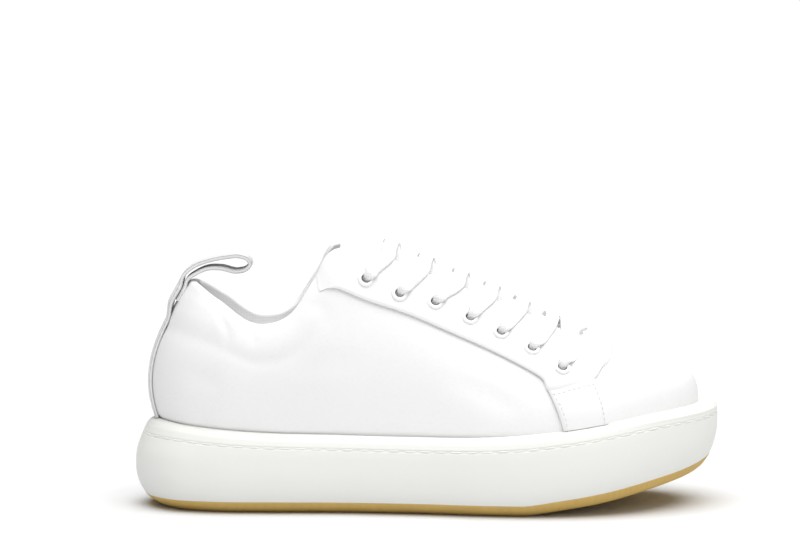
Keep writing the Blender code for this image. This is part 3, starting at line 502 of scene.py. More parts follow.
def station_at(x, across):
    """Station whose cross-section over the instep passes x at that distance across."""
    trial = np.linspace(*THROAT_SEARCH, 400)
    return float(np.interp(x, throat_line(trial, across)[:, 0], trial))


def facing_table():
    """Lower edge of the facing in rib coordinates, from collar to collar."""
    lateral = []
    for share, height, station in FACING_EDGE:
        s, t = locate((share - 0.5) * SOLE_LENGTH, SOLE_HEIGHT + height)
        lateral.append((station, s, t))
    reaches = np.linspace(0.3, 1.0, 141)
    front = reaches[np.argmin(np.abs(rib(1.0, reaches)[:, 0] - (FACING_FRONT - 0.5) * SOLE_LENGTH))]
    medial = [(2.0 - station, 2.0 - s, t) for station, s, t in reversed(lateral)]
    return lateral + [(1.0, 1.0, front)] + medial


FACING_TABLE = facing_table()
EYELET_SPOTS = [locate((share - 0.5) * SOLE_LENGTH, SOLE_HEIGHT + height) for share, height in EYELETS]


def eyelet_places():
    """Each eyelet's side, row, spot, centre on the facing and axis."""
    places = []
    for side in (-1, 1):
        for row, (s, t) in enumerate(EYELET_SPOTS):
            place = s if side < 0 else 2.0 - s
            base = upper_point(place, t, LAYER_GAP + LAYER)
            axis = normals_at(place, t)
            places.append((side, row, (place, t), base, axis))
    return places


# Meshes

def make(name, points, faces, finishes, zones=None, sharp=50):
    """One object from points and faces. zones gives each face's place in the list of finishes."""
    mesh = bpy.data.meshes.new(name)
    mesh.from_pydata(np.asarray(points).tolist(), [], [list(map(int, face)) for face in faces])
    for finish in finishes:
        mesh.materials.append(finish)
    if zones is not None:
        mesh.polygons.foreach_set("material_index", np.asarray(zones, dtype=np.int32))
    mesh.shade_smooth()
    mesh.set_sharp_from_angle(angle=math.radians(sharp))
    piece = bpy.data.objects.new(name, mesh)
    bpy.context.scene.collection.objects.link(piece)
    return piece


def point_attribute(piece, name, values):
    """Keep a number for each point, for a finish to read."""
    made = piece.data.attributes.new(name, "FLOAT", "POINT")
    made.data.foreach_set("value", np.asarray(values, dtype=np.float32).ravel())


def turn_outward(piece):
    """Make the faces of a closed mesh point outward."""
    work = bmesh.new()
    work.from_mesh(piece.data)
    bmesh.ops.remove_doubles(work, verts=work.verts, dist=1e-7)
    bmesh.ops.recalc_face_normals(work, faces=work.faces)
    work.to_mesh(piece.data)
    work.free()


def ring_faces(rings, count, closed=False):
    """Faces between rings of count points. With closed the last ring joins the first."""
    faces = []
    for r in range(rings if closed else rings - 1):
        low, high = r * count, (r + 1) % rings * count
        for i in range(count):
            j = (i + 1) % count
            faces.append((low + i, low + j, high + j, high + i))
    return faces


def grid_faces(rows, columns, start=0, flip=False):
    """Faces of a grid of points."""
    faces = []
    for r in range(rows - 1):
        for c in range(columns - 1):
            a = start + r * columns + c
            face = (a, a + 1, a + columns + 1, a + columns)
            faces.append(face[::-1] if flip else face)
    return faces


def border(rows, columns):
    """Places of a grid's border points, in order round the grid."""
    places = list(range(columns))
    places += [r * columns + columns - 1 for r in range(1, rows)]
    places += [(rows - 1) * columns + c for c in range(columns - 2, -1, -1)]
    places += [r * columns for r in range(rows - 2, 0, -1)]
    return places


def inward(rows, columns):
    """For each border point, the place of the grid point just inside it."""
    places = []
    for i in border(rows, columns):
        r, c = divmod(i, columns)
        places.append(min(max(r, 1), rows - 2) * columns + min(max(c, 1), columns - 2))
    return places


def closed_sheet(name, outer, inner, finishes, cut=None, bulge=0.0002, loops=3, sharp=50):
    """A sheet with a wall from two grids of points, with a rounded rim.

    The finishes are for the outer face, the inner face and the rim. Where cut, a grid of marks, is
    given, the rim has its finish only beside marked points, and the outer one elsewhere.
    """
    rows, columns = outer.shape[:2]
    size = rows * columns
    top, under = outer.reshape(-1, 3), inner.reshape(-1, 3)
    edge, inside = border(rows, columns), inward(rows, columns)
    count = len(edge)
    away = unit(top[edge] + under[edge] - top[inside] - under[inside])
    points, rim = [top, under], [np.zeros(size), np.ones(size)]
    for k in range(1, loops + 1):
        share = k / (loops + 1)
        ring = top[edge] * (1 - share) + under[edge] * share
        points.append(ring + away * bulge * math.sin(math.pi * share))
        rim.append(np.full(count, share))
    rings = [edge] + [list(range(2 * size + k * count, 2 * size + (k + 1) * count)) for k in range(loops)]
    rings.append([size + i for i in edge])
    faces = grid_faces(rows, columns) + grid_faces(rows, columns, size, True)
    zones = [0] * (len(faces) // 2) + [1] * (len(faces) // 2)
    marks = [True] * count if cut is None else [bool(cut.reshape(-1)[i]) for i in edge]
    for near, far in zip(rings, rings[1:]):
        for k in range(count):
            j = (k + 1) % count
            faces.append((near[j], near[k], far[k], far[j]))
            zones.append(2 if marks[k] and marks[j] else 0)
    piece = make(name, np.concatenate(points), faces, finishes, zones, sharp)
    point_attribute(piece, "rim", np.concatenate(rim))
    return piece


def spacing(count, tight=0.5):
    """Shares from 0 to 1 that crowd towards both ends."""
    u = np.linspace(0.0, 1.0, count)
    return u * (1 - tight) + (0.5 - 0.5 * np.cos(math.pi * u)) * tight


def runs(points, axis):
    """Distance along one axis of a grid of points."""
    steps = np.linalg.norm(np.diff(points, axis=axis), axis=-1)
    start = np.zeros_like(np.take(steps, [0], axis=axis))
    return np.concatenate([start, np.cumsum(steps, axis=axis)], axis=axis)


def apply_cut(piece, cutter):
    """Take a cutter out of a piece, and remove the cutter."""
    step = piece.modifiers.new("cut", "BOOLEAN")
    step.operation = "DIFFERENCE"
    step.solver = "EXACT"
    step.object = cutter
    bake(piece)
    bpy.data.objects.remove(cutter, do_unlink=True)


def bake(piece):
    """Turn a piece's modifiers into a plain mesh."""
    depsgraph = bpy.context.evaluated_depsgraph_get()
    mesh = bpy.data.meshes.new_from_object(piece.evaluated_get(depsgraph))
    piece.modifiers.clear()
    old = piece.data
    piece.data = mesh
    mesh.name = old.name
    bpy.data.meshes.remove(old)


def hole_cutter():
    """Straight punches through every layer at the eyelets."""
    points, faces = [], []
    sides = 32
    angles = 2 * math.pi * np.arange(sides) / sides
    for _, _, _, base, axis in eyelet_places():
        across = unit(np.cross(axis, (1.0, 0.0, 0.0)))
        other = np.cross(axis, across)
        ring = (BARREL_RADIUS - 0.0001) * (np.cos(angles)[:, None] * across + np.sin(angles)[:, None] * other)
        first = len(points)
        points += list(base + ring - axis * 0.009) + list(base + ring + axis * 0.004)
        faces += [tuple(first + i for i in face) for face in ring_faces(2, sides)]
        faces.append(tuple(range(first + sides - 1, first - 1, -1)))
        faces.append(tuple(range(first + sides, first + 2 * sides)))
    cutter = make("hole_cutter", points, faces, [])
    turn_outward(cutter)
    return cutter


def settle(piece, slot, *nodes):
    """Let a finished piece ride on the shoe in place of its packed solids."""
    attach(piece, "root")
    if nodes:
        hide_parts(*nodes)
    return piece


# Finishes

class Wire:
    """A shader socket that Python's operators work on."""

    def __init__(self, tree, socket):
        self.tree = tree
        self.socket = socket

    def math(self, operation, *others, swap=False, clamp=False):
        node = self.tree.nodes.new("ShaderNodeMath")
        node.operation = operation
        node.use_clamp = clamp
        values = [self, *others]
        if swap:
            values.reverse()
        for spot, value in zip(node.inputs, values):
            if isinstance(value, Wire):
                self.tree.links.new(value.socket, spot)
            else:
                spot.default_value = value
        return Wire(self.tree, node.outputs[0])

    def __add__(self, other):
        return self.math("ADD", other)

    def __radd__(self, other):
        return self.math("ADD", other)

    def __sub__(self, other):
        return self.math("SUBTRACT", other)

    def __rsub__(self, other):
        return self.math("SUBTRACT", other, swap=True)

    def __mul__(self, other):
        return self.math("MULTIPLY", other)

    def __rmul__(self, other):
        return self.math("MULTIPLY", other)

    def __truediv__(self, other):
        return self.math("DIVIDE", other)

    def above(self, low, high):
        """Rise from 0 at low to 1 at high."""
        return ((self - low) / (high - low)).math("MINIMUM", 1.0).math("MAXIMUM", 0.0)


# Stitches: how much of the pitch one fills, and the sole's thickness of thread
SOLE_STITCH_SHARE = 0.84
SOLE_STITCH_THICKNESS = 0.0009
FINE_STITCH_SHARE = 0.78

# The lace's weave: one full turn of a wave, and the ribs across its width
TURN = 6.2832
LACE_RIBS = 9.0

# Plain materials come in under the slots' bare names, so these have names of their own.
FINISH_NAME = "{}_look"


class Finish:
    """One material and the nodes that feed its Principled shader."""

    def __init__(self, name):
        self.material = bpy.data.materials.new(FINISH_NAME.format(name))
        self.material.use_nodes = True
        self.tree = self.material.node_tree
        self.shader = self.tree.nodes["Principled BSDF"]

    def node(self, kind, settings=None, inputs=None, output=0):
        """Add a node: its settings first, then the values or wires of its inputs."""
        made = self.tree.nodes.new(kind)
        for name, value in (settings or {}).items():
            setattr(made, name, value)
        for name, value in (inputs or {}).items():
            if isinstance(value, Wire):
                self.tree.links.new(value.socket, made.inputs[name])
            else:
                made.inputs[name].default_value = value
        return Wire(self.tree, made.outputs[output])

    def place(self):
        return self.node("ShaderNodeTexCoord", output="Object")

    def attribute(self, name):
        return self.node("ShaderNodeAttribute", {"attribute_name": name}, output="Fac")

    def noise(self, vector, scale, detail=3.0, roughness=0.5):
        inputs = {"Vector": vector, "Scale": scale, "Detail": detail, "Roughness": roughness}
        return self.node("ShaderNodeTexNoise", None, inputs)

    def cells(self, vector, scale, feature="F1"):
        return self.node("ShaderNodeTexVoronoi", {"feature": feature}, {"Vector": vector, "Scale": scale})

    def waves(self, vector, scale, direction="X"):
        settings = {"wave_type": "BANDS", "bands_direction": direction}
        return self.node("ShaderNodeTexWave", settings, {"Vector": vector, "Scale": scale})

    def mix(self, factor, first, second):
        """Mix two colours."""
        made = self.tree.nodes.new("ShaderNodeMix")
        made.data_type = "RGBA"
        for spot, value in ((made.inputs[0], factor), (made.inputs[6], first), (made.inputs[7], second)):
            if isinstance(value, Wire):
                self.tree.links.new(value.socket, spot)
            elif spot == made.inputs[0]:
                spot.default_value = value
            else:
                spot.default_value = (*value[:3], 1.0)
        return Wire(self.tree, made.outputs[2])

    def bump(self, height, distance, strength=1.0, under=None):
        inputs = {"Height": height, "Distance": distance, "Strength": strength}
        if under is not None:
            inputs["Normal"] = under
        return self.node("ShaderNodeBump", None, inputs)

    def set(self, **values):
        """Feed the shader's inputs, named with underscores for spaces."""
        for name, value in values.items():
            spot = self.shader.inputs[name.replace("_", " ")]
            if isinstance(value, Wire):
                self.tree.links.new(value.socket, spot)
            elif hasattr(value, "__len__") and len(value) == 3 and spot.type == "RGBA":
                spot.default_value = (*value, 1.0)
            else:
                spot.default_value = value
        return self.material


def shade(colour, factor):
    """A colour made lighter or darker."""
    return tuple(min(1.0, channel * factor) for channel in colour)


def made_once(name=None):
    """Build a finish once. Without a name here, it is the function's first argument."""
    def wrap(build):
        def once(*args):
            known = bpy.data.materials.get(FINISH_NAME.format(name or args[0]))
            return known or build(*args)
        once.__doc__ = build.__doc__
        return once
    return wrap


@made_once()
def leather_finish(name, colour):
    """Smooth full-grain leather: fine pores, soft folds and a faint cloudiness."""
    looks = bpy.context.scene.sneaker_leather
    made = Finish(name)
    place = made.place()
    clouds = made.noise(place, 22.0, 3.0)
    pores = made.cells(place, 1.0 / looks.grain, "SMOOTH_F1")
    folds = made.noise(place, 0.35 / looks.grain, 4.0, 0.6)
    base = made.mix(clouds.above(0.35, 0.75), shade(colour, 0.985), shade(colour, 1.01))
    base = made.mix(pores.above(0.45, 0.9) * 0.35, base, shade(colour, 0.90))
    rough = looks.roughness + (folds - 0.5) * 0.14
    relief = made.bump(pores, looks.grain_depth, 0.5, made.bump(folds, looks.grain_depth * 2.0, 0.5))
    return made.set(Base_Color=base, Roughness=rough, Normal=relief, Specular_IOR_Level=0.4)


@made_once("cut_edge")
def cut_finish():
    """Cut edge of the leather and the strap: grey paint on both borders, paler fibres between."""
    looks = bpy.context.scene.sneaker_leather
    made = Finish("cut_edge")
    place = made.place()
    away = (made.attribute("rim") - 0.5).math("ABSOLUTE") * 2.0
    fuzz = made.noise(place, 1400.0, 3.0)
    base = made.mix(away.above(0.25, 0.65), looks.cut_middle, looks.cut_border)
    base = made.mix(fuzz.above(0.35, 0.75) * 0.4, base, shade(looks.cut_middle, 0.92))
    return made.set(Base_Color=base, Roughness=0.85 + (fuzz - 0.5) * 0.1,
                    Normal=made.bump(fuzz, 0.0001, 0.6))


@made_once("strap_backing")
def backing_finish():
    """Grey felted back of the strap's leather, seen inside the pull loop."""
    looks = bpy.context.scene.sneaker_leather
    made = Finish("strap_backing")
    fuzz = made.noise(made.place(), 1100.0, 4.0)
    # Painted shade in part: the back is grey to darken the inside of the pull loop.
    base = made.mix(fuzz.above(0.3, 0.7), shade(looks.backing_shade, 0.86), looks.backing_shade)
    return made.set(Base_Color=base, Roughness=0.95, Normal=made.bump(fuzz, 0.00012, 0.6))


@made_once("lining")
def lining_finish():
    """Soft textile lining of the collar and the inside."""
    looks = bpy.context.scene.sneaker_textile
    made = Finish("lining")
    place = made.place()
    weft = made.waves(place, 1.0 / looks.lining_pitch / 6.28, "X")
    warp = made.waves(place, 1.0 / looks.lining_pitch / 6.28, "Z")
    weave = weft * warp
    base = made.mix(weave.above(0.2, 0.7), shade(looks.lining, 0.975), looks.lining)
    return made.set(Base_Color=base, Roughness=0.92, Normal=made.bump(weave, 0.0001, 0.5))


@made_once("sole_rubber")
def rubber_finish():
    """Foamed off-white rubber of the cupsole, a little warmer and darker low down."""
    looks = bpy.context.scene.sneaker_sole
    made = Finish("sole_rubber")
    place = made.place()
    height = made.node("ShaderNodeSeparateXYZ", None, {"Vector": place}, "Z")
    clouds = made.noise(place, 30.0, 4.0)
    stipple = made.noise(place, 2200.0, 2.0)
    # Painted shade: the side is blended to a slightly darker colour towards its bottom.
    base = made.mix(height.above(0.004, 0.034), looks.rubber_low_shade, looks.rubber)
    base = made.mix(clouds.above(0.4, 0.8) * 0.25, base, shade(looks.rubber, 0.96))
    rough = 0.46 + (stipple - 0.5) * 0.10
    relief = made.bump(stipple, 0.00006, 0.5)
    return made.set(Base_Color=base, Roughness=rough, Normal=relief, Specular_IOR_Level=0.4)


@made_once("gum_rubber")
def gum_finish():
    """Tan gum rubber, cloudy, with a fine moulded pattern underneath."""
    looks = bpy.context.scene.sneaker_sole
    made = Finish("gum_rubber")
    place = made.place()
    parts = made.node("ShaderNodeSeparateXYZ", None, {"Vector": place}, "Z")
    clouds = made.noise(place, 45.0, 4.0)
    grit = made.noise(place, 1500.0, 2.0)
    base = made.mix(clouds.above(0.35, 0.7), shade(looks.gum, 0.93), looks.gum)
    # Painted shade: the bottom of the gum is darkened where its rounded underside turns away from the light.
    base = made.mix((1.0 - parts.above(0.0003, 0.0022)) * 0.6, base, shade(looks.gum, 0.55))
    ribs = made.waves(place, 0.5 / looks.rib_pitch / 3.14, "DIAGONAL")
    relief = made.bump(grit, 0.00005, 0.5, made.bump(ribs, 0.0003, 0.25))
    return made.set(Base_Color=base, Roughness=0.55 + (grit - 0.5) * 0.2, Normal=relief,
                    Specular_IOR_Level=0.15)


@made_once("footbed")
def footbed_finish():
    """Footbed cloth with rows of small pricked holes."""
    looks = bpy.context.scene.sneaker_textile
    made = Finish("footbed")
    place = made.place()
    weave = made.waves(place, 160.0, "X") * made.waves(place, 160.0, "Y")
    clouds = made.noise(place, 40.0, 3.0)
    base = made.mix(clouds.above(0.3, 0.8) * 0.4, looks.footbed, shade(looks.footbed, 0.9))
    return made.set(Base_Color=base, Roughness=0.9, Normal=made.bump(weave, 0.00012, 0.5))


@made_once("lace_cotton")
def lace_finish():
    """Flat woven cotton, read along and across the lace from its UV map."""
    looks = bpy.context.scene.sneaker_textile
    made = Finish("lace_cotton")
    spread = made.node("ShaderNodeUVMap", {"uv_map": "weave"})
    along = made.node("ShaderNodeSeparateXYZ", None, {"Vector": spread}, "X")
    across = made.node("ShaderNodeSeparateXYZ", None, {"Vector": spread}, "Y")
    slant = (across - 0.5).math("ABSOLUTE") * 2.0
    braid = ((along / looks.weave_pitch + slant * 1.4) * TURN).math("SINE") * 0.5 + 0.5
    ribs = (across * (TURN * LACE_RIBS)).math("SINE") * 0.5 + 0.5
    weave = braid * 0.7 + ribs * 0.3
    base = made.mix(weave.above(0.15, 0.75), shade(looks.lace, 0.88), looks.lace)
    return made.set(Base_Color=base, Roughness=0.9, Normal=made.bump(weave, 0.00022, 0.6))


@made_once()
def thread_finish(name, colour):
    """Twisted sewing thread."""
    made = Finish(name)
    twist = made.waves(made.place(), 500.0, "DIAGONAL")
    base = made.mix(twist, shade(colour, 0.93), colour)
    return made.set(Base_Color=base, Roughness=0.7, Normal=made.bump(twist, 0.00004, 0.4))


@made_once("eyelet_enamel")
def enamel_finish():
    """White enamelled eyelets."""
    looks = bpy.context.scene.sneaker_trim
    made = Finish("eyelet_enamel")
    wear = made.noise(made.place(), 600.0, 3.0)
    base = made.mix(wear.above(0.55, 0.8) * 0.3, looks.enamel, shade(looks.enamel, 0.92))
    rough = 0.30 + (wear - 0.5) * 0.12
    return made.set(Base_Color=base, Roughness=rough, Normal=made.bump(wear, 0.00002, 0.4), Coat_Weight=0.2)


# Geometry Nodes

class Tree:
    """A Geometry Nodes tree with named inputs, built node by node."""

    def __init__(self, name, inputs):
        self.group = bpy.data.node_groups.new(name, "GeometryNodeTree")
        face = self.group.interface
        face.new_socket("Geometry", in_out="INPUT", socket_type="NodeSocketGeometry")
        for label, kind, value in inputs:
            made = face.new_socket(label, in_out="INPUT", socket_type=kind)
            if value is not None:
                made.default_value = value
        face.new_socket("Geometry", in_out="OUTPUT", socket_type="NodeSocketGeometry")
        self.entry = self.group.nodes.new("NodeGroupInput")
        self.exit = self.group.nodes.new("NodeGroupOutput")

    def node(self, kind, settings=None, **inputs):
        """Add a node and link or set its inputs, named with underscores for spaces."""
        made = self.group.nodes.new(kind)
        for name, value in (settings or {}).items():
            setattr(made, name, value)
        for name, value in inputs.items():
            spot = made.inputs[name.replace("_", " ")]
            if isinstance(value, bpy.types.NodeSocket):
                self.group.links.new(value, spot)
            else:
                spot.default_value = value
        return made

    def finish(self, geometry):
        """Realize the instances, set the material and end the tree."""
        plain = self.node("GeometryNodeRealizeInstances", Geometry=geometry)
        painted = self.node("GeometryNodeSetMaterial", Geometry=plain.outputs[0],
                            Material=self.entry.outputs["Material"])
        self.group.links.new(painted.outputs[0], self.exit.inputs[0])
        return self.group


def stitch_tree():
    """Stitches in a row along lines, each a slim grain of thread that lies on the leather."""
    group = bpy.data.node_groups.get("stitches")
    if group:
        return group
    tree = Tree("stitches", (
        ("Pitch", "NodeSocketFloat", 0.0033),
        ("Length", "NodeSocketFloat", 0.0026),
        ("Thickness", "NodeSocketFloat", 0.0006),
        ("Jitter", "NodeSocketFloat", 0.0001),
        ("Material", "NodeSocketMaterial", None),
    ))
    entry = tree.entry.outputs
    line = tree.node("GeometryNodeMeshToCurve", Mesh=entry["Geometry"])
    spots = tree.node("GeometryNodeCurveToPoints", {"mode": "LENGTH"}, Curve=line.outputs[0],
                      Length=entry["Pitch"])
    up = tree.node("GeometryNodeInputNamedAttribute", {"data_type": "FLOAT_VECTOR"}, Name="up")
    lengthwise = tree.node("FunctionNodeAlignRotationToVector", {"axis": "X"},
                           Vector=spots.outputs["Tangent"])
    upright = tree.node("FunctionNodeAlignRotationToVector", {"axis": "Z", "pivot_axis": "X"},
                        Rotation=lengthwise.outputs[0], Vector=up.outputs[0])
    size = tree.node("ShaderNodeCombineXYZ", X=entry["Length"], Y=entry["Thickness"], Z=entry["Thickness"])
    grain = tree.node("GeometryNodeMeshUVSphere", Segments=6, Rings=4, Radius=0.5)
    wobble = tree.node("FunctionNodeRandomValue", {"data_type": "FLOAT_VECTOR"}, Seed=11)
    spread = tree.node("ShaderNodeVectorMath", {"operation": "SUBTRACT"})
    tree.group.links.new(wobble.outputs[0], spread.inputs[0])
    spread.inputs[1].default_value = (0.5, 0.5, 0.5)
    scaled = tree.node("ShaderNodeVectorMath", {"operation": "SCALE"}, Scale=entry["Jitter"])
    tree.group.links.new(spread.outputs[0], scaled.inputs[0])
    moved = tree.node("GeometryNodeSetPosition", Geometry=spots.outputs[0], Offset=scaled.outputs[0])
    placed = tree.node("GeometryNodeInstanceOnPoints", Points=moved.outputs[0], Instance=grain.outputs[0],
                       Rotation=upright.outputs[0], Scale=size.outputs[0])
    return tree.finish(placed.outputs[0])


def eyelet_tree():
    """Rolled eyelets on points: a soft flange ring and a barrel."""
    tree = Tree("eyelet_rings", (
        ("Flange radius", "NodeSocketFloat", FLANGE_RADIUS),
        ("Hole radius", "NodeSocketFloat", EYELET_HOLE_RADIUS),
        ("Flange height", "NodeSocketFloat", FLANGE_HEIGHT),
        ("Barrel depth", "NodeSocketFloat", LAYER + LAYER_GAP + WALL),
        ("Material", "NodeSocketMaterial", None),
    ))
    entry = tree.entry.outputs

    def calculate(operation, first, second):
        made = tree.node("ShaderNodeMath", {"operation": operation})
        for spot, value in zip(made.inputs, (first, second)):
            if isinstance(value, bpy.types.NodeSocket):
                tree.group.links.new(value, spot)
            else:
                spot.default_value = value
        return made.outputs[0]

    total = calculate("ADD", entry["Flange radius"], entry["Hole radius"])
    middle = calculate("MULTIPLY", total, 0.5)
    breadth = calculate("SUBTRACT", entry["Flange radius"], entry["Hole radius"])
    half = calculate("MULTIPLY", breadth, 0.5)
    squash = calculate("DIVIDE", entry["Flange height"], half)
    path = tree.node("GeometryNodeCurvePrimitiveCircle", Resolution=40, Radius=middle)
    roll = tree.node("GeometryNodeCurvePrimitiveCircle", Resolution=12, Radius=half)
    ring = tree.node("GeometryNodeCurveToMesh", Curve=path.outputs[0], Profile_Curve=roll.outputs[0])
    flat = tree.node("ShaderNodeCombineXYZ", X=1.0, Y=1.0, Z=squash)
    ring = tree.node("GeometryNodeTransform", Geometry=ring.outputs[0], Scale=flat.outputs[0])
    bore = tree.node("GeometryNodeCurvePrimitiveCircle", Resolution=40, Radius=entry["Hole radius"])
    down = tree.node("ShaderNodeCombineXYZ", Z=calculate("MULTIPLY", entry["Barrel depth"], -1.0))
    drop = tree.node("GeometryNodeCurvePrimitiveLine", End=down.outputs[0])
    tube = tree.node("GeometryNodeCurveToMesh", Curve=drop.outputs[0], Profile_Curve=bore.outputs[0])
    wall_out = tree.node("GeometryNodeExtrudeMesh", {"mode": "FACES"}, Mesh=tube.outputs[0],
                         Offset_Scale=BARREL_RADIUS - EYELET_HOLE_RADIUS, Individual=False)
    both = tree.node("GeometryNodeJoinGeometry")
    tree.group.links.new(ring.outputs[0], both.inputs[0])
    tree.group.links.new(wall_out.outputs[0], both.inputs[0])
    soft = tree.node("GeometryNodeSetShadeSmooth", Geometry=both.outputs[0])
    axis = tree.node("GeometryNodeInputNamedAttribute", {"data_type": "FLOAT_VECTOR"}, Name="up")
    upright = tree.node("FunctionNodeAlignRotationToVector", {"axis": "Z"}, Vector=axis.outputs[0])
    placed = tree.node("GeometryNodeInstanceOnPoints", Points=entry["Geometry"], Instance=soft.outputs[0],
                       Rotation=upright.outputs[0])
    return tree.finish(placed.outputs[0])


def run_tree(name, group, points, ups, edges, values):
    """Run a tree on points with an up direction, and keep what it makes as a plain mesh."""
    mesh = bpy.data.meshes.new(name)
    mesh.from_pydata(np.asarray(points).tolist(), edges, [])
    made = mesh.attributes.new("up", "FLOAT_VECTOR", "POINT")
    made.data.foreach_set("vector", np.asarray(ups, dtype=np.float32).ravel())
    piece = bpy.data.objects.new(name, mesh)
    bpy.context.scene.collection.objects.link(piece)
    step = piece.modifiers.new(name, "NODES")
    step.node_group = group
    names = {item.name: item.identifier for item in group.interface.items_tree if item.in_out == "INPUT"}
    for label, value in values.items():
        step[names[label]] = value
    bake(piece)
    return piece


def sew(name, lines, thread, pitch, length, thickness):
    """Stitches along lines of points with up directions."""
    points, ups, edges = [], [], []
    for line, up in lines:
        first = len(points)
        points += list(line)
        ups += list(up)
        edges += [(first + i, first + i + 1) for i in range(len(line) - 1)]
    values = {"Pitch": pitch, "Length": length, "Thickness": thickness, "Material": thread}
    return run_tree(name, stitch_tree(), points, ups, edges, values)


def seam(s, t, lift):
    """A line on the upper for stitches, with its up directions."""
    return upper_point(s, t, lift), normals_at(s, t)


# Pieces

def stations(count):
    """Places around the shoe, from the heel round the lateral side."""
    return 2.0 * np.arange(count) / count


def stacked(name, rings, finish_, sharp=40):
    """A solid of stacked rings, closed by strips across its first and last ring."""
    count = len(rings[0])
    faces = ring_faces(len(rings), count)
    for start, flip in ((0, True), ((len(rings) - 1) * count, False)):
        strips = [(start, start + 1, start + count - 1)]
        half = count // 2
        strips += [(start + i, start + i + 1, start + count - i - 1, start + count - i)
                   for i in range(1, half - 1)]
        strips.append((start + half - 1, start + half, start + half + 1))
        faces += [face[::-1] if flip else face for face in strips]
    return make(name, np.concatenate(rings), faces, [finish_], None, sharp)


def gum_ring(s, share, extra=0.0, lift=0.0):
    """Ring of the outsole at a share of its thickness."""
    bottom, top = sole_levels(outline_spot(s)[..., 0])
    return sole_point(s, share * OUTSOLE_THICKNESS / (top - bottom), extra, lift)


def build_outsole():
    """Gum outsole with a rounded bottom edge, a bead at its top and the tread's grooves."""
    looks = bpy.context.scene.sneaker_sole
    s = stations(looks.stations)
    rings = []
    for angle in np.linspace(0.0, 0.5 * math.pi, 5):
        rings.append(gum_ring(s, 0.20 * (1 - math.cos(angle)), OUTSOLE_ROUNDING * (1 - math.sin(angle))))
    rings += [gum_ring(s, share) for share in (0.32, 0.42, 0.52, 0.62, 0.74, 0.80)]
    rings += [gum_ring(s, 0.86, -looks.bead), gum_ring(s, 0.95, -looks.bead), gum_ring(s, 1.0, 0.0)]
    piece = stacked("outsole_gum", rings, gum_finish())
    grooves = tread_cutter()
    apply_cut(piece, grooves)
    return settle(piece, "gum_rubber", "outsole")


def tread_cutter():
    """Bars that cut the tread's grooves, where the packed outsole has them."""
    points, faces = [], []
    count = int((SOLE_LENGTH - 2 * TREAD_MARGIN) / TREAD_PITCH)
    start = -0.5 * (count - 1) * TREAD_PITCH
    for k in range(count):
        x = start + k * TREAD_PITCH
        low, high = (np.interp(length_share(x), length_share(HALVES[side][:, 1]), HALVES[side][:, 2])
                     - side * TREAD_MARGIN for side in (-1, 1))
        bottom = float(sole_levels(x)[0])
        first = len(points)
        for z, half in ((bottom - TREAD_DEPTH, 0.6), (bottom + TREAD_DEPTH, 0.42)):
            for dx, y in ((-half, low), (half, low), (half, high), (-half, high)):
                points.append((x + dx * TREAD_WIDTH, y, z))
        for face in ((3, 2, 1, 0), (4, 5, 6, 7), (0, 1, 5, 4), (1, 2, 6, 5), (2, 3, 7, 6), (3, 0, 4, 7)):
            faces.append(tuple(first + i for i in face))
    cutter = make("tread_cutter", points, faces, [gum_finish()])
    turn_outward(cutter)
    return cutter


def build_midsole():
    """Cupsole: bulging side, stitch groove, rounded ledge and the cup that holds the upper."""
    looks = bpy.context.scene.sneaker_sole
    s = stations(looks.stations)
    low, high = GROOVE_CENTRE - GROOVE_HALF, GROOVE_CENTRE + GROOVE_HALF
    rings = [gum_ring(s, 1.0, 0.0, 0.00005)]
    first = 0.22
    for share in np.linspace(first, low - 0.008, 24):
        rings.append(sole_point(s, share))
    for u in np.linspace(-1.0, 1.0, 9):
        depth = looks.groove * math.cos(0.5 * math.pi * u) if abs(u) < 1 else 0.0
        rings.append(sole_point(s, GROOVE_CENTRE + u * GROOVE_HALF, depth))
    for share in np.linspace(high + 0.008, 1.0, 16):
        rings.append(sole_point(s, share))
    rings[-1] = sole_point(s, 1.0, looks.snug)
    rings.append(sole_point(s, 1.0, looks.snug, -0.1 * CUP_DEPTH))
    rings.append(sole_point(s, 1.0, -CLEARANCE, -0.3 * CUP_DEPTH))
    rings.append(sole_point(s, 1.0, -CLEARANCE, -CUP_DEPTH))
    piece = stacked("midsole_rubber", rings, rubber_finish(), 40)
    return settle(piece, "sole_rubber", "midsole")


def build_insole():
    """Footbed with a rounded edge and a slight dish."""
    looks = bpy.context.scene.sneaker_sole
    s = stations(looks.stations)
    margin = WALL + CLEARANCE
    floor = CLEARANCE - CUP_DEPTH
    top = floor + INSOLE_THICKNESS
    rings = [sole_point(s, 1.0, margin, floor), sole_point(s, 1.0, margin, top - 0.001)]
    for angle in np.linspace(0.2, 0.5 * math.pi, 5):
        extra = margin + 0.0012 * (1 - math.cos(angle))
        rings.append(sole_point(s, 1.0, extra, top - 0.001 * (1 - math.sin(angle))))
    for depth, dip in ((0.006, 0.0004), (0.012, 0.0009), (0.018, 0.0012)):
        rings.append(sole_point(s, 1.0, margin + depth, top - dip))
    piece = stacked("footbed_cloth", rings, footbed_finish())
    return settle(piece, "footbed", "insole")


def puff(s, t):
    """How far the collar's padding swells the leather, with a soft dent where it ends below."""
    looks = bpy.context.scene.sneaker_leather
    s = np.mod(s, 2.0)
    share = np.where(s <= 1.0, s, 2.0 - s)
    along = 1 - blend(0.30, 0.40, share)
    swell = blend(0.66, 0.84, t) * (1 - 0.5 * blend(0.90, 1.0, t))
    dent = np.exp(-((t - 0.66) / 0.06) ** 2)
    return along * (looks.puff * swell - 0.35 * looks.puff * dent)


def lining_swell(s, t):
    """How far the collar's padding swells the lining, just below the top edge."""
    share = np.mod(s, 2.0)
    share = np.where(share <= 1.0, share, 2.0 - share)
    looks = bpy.context.scene.sneaker_textile
    return looks.collar_pad * (1 - blend(0.30, 0.40, share)) * math.sin(math.pi * min((1.0 - t) / 0.24, 1.0))


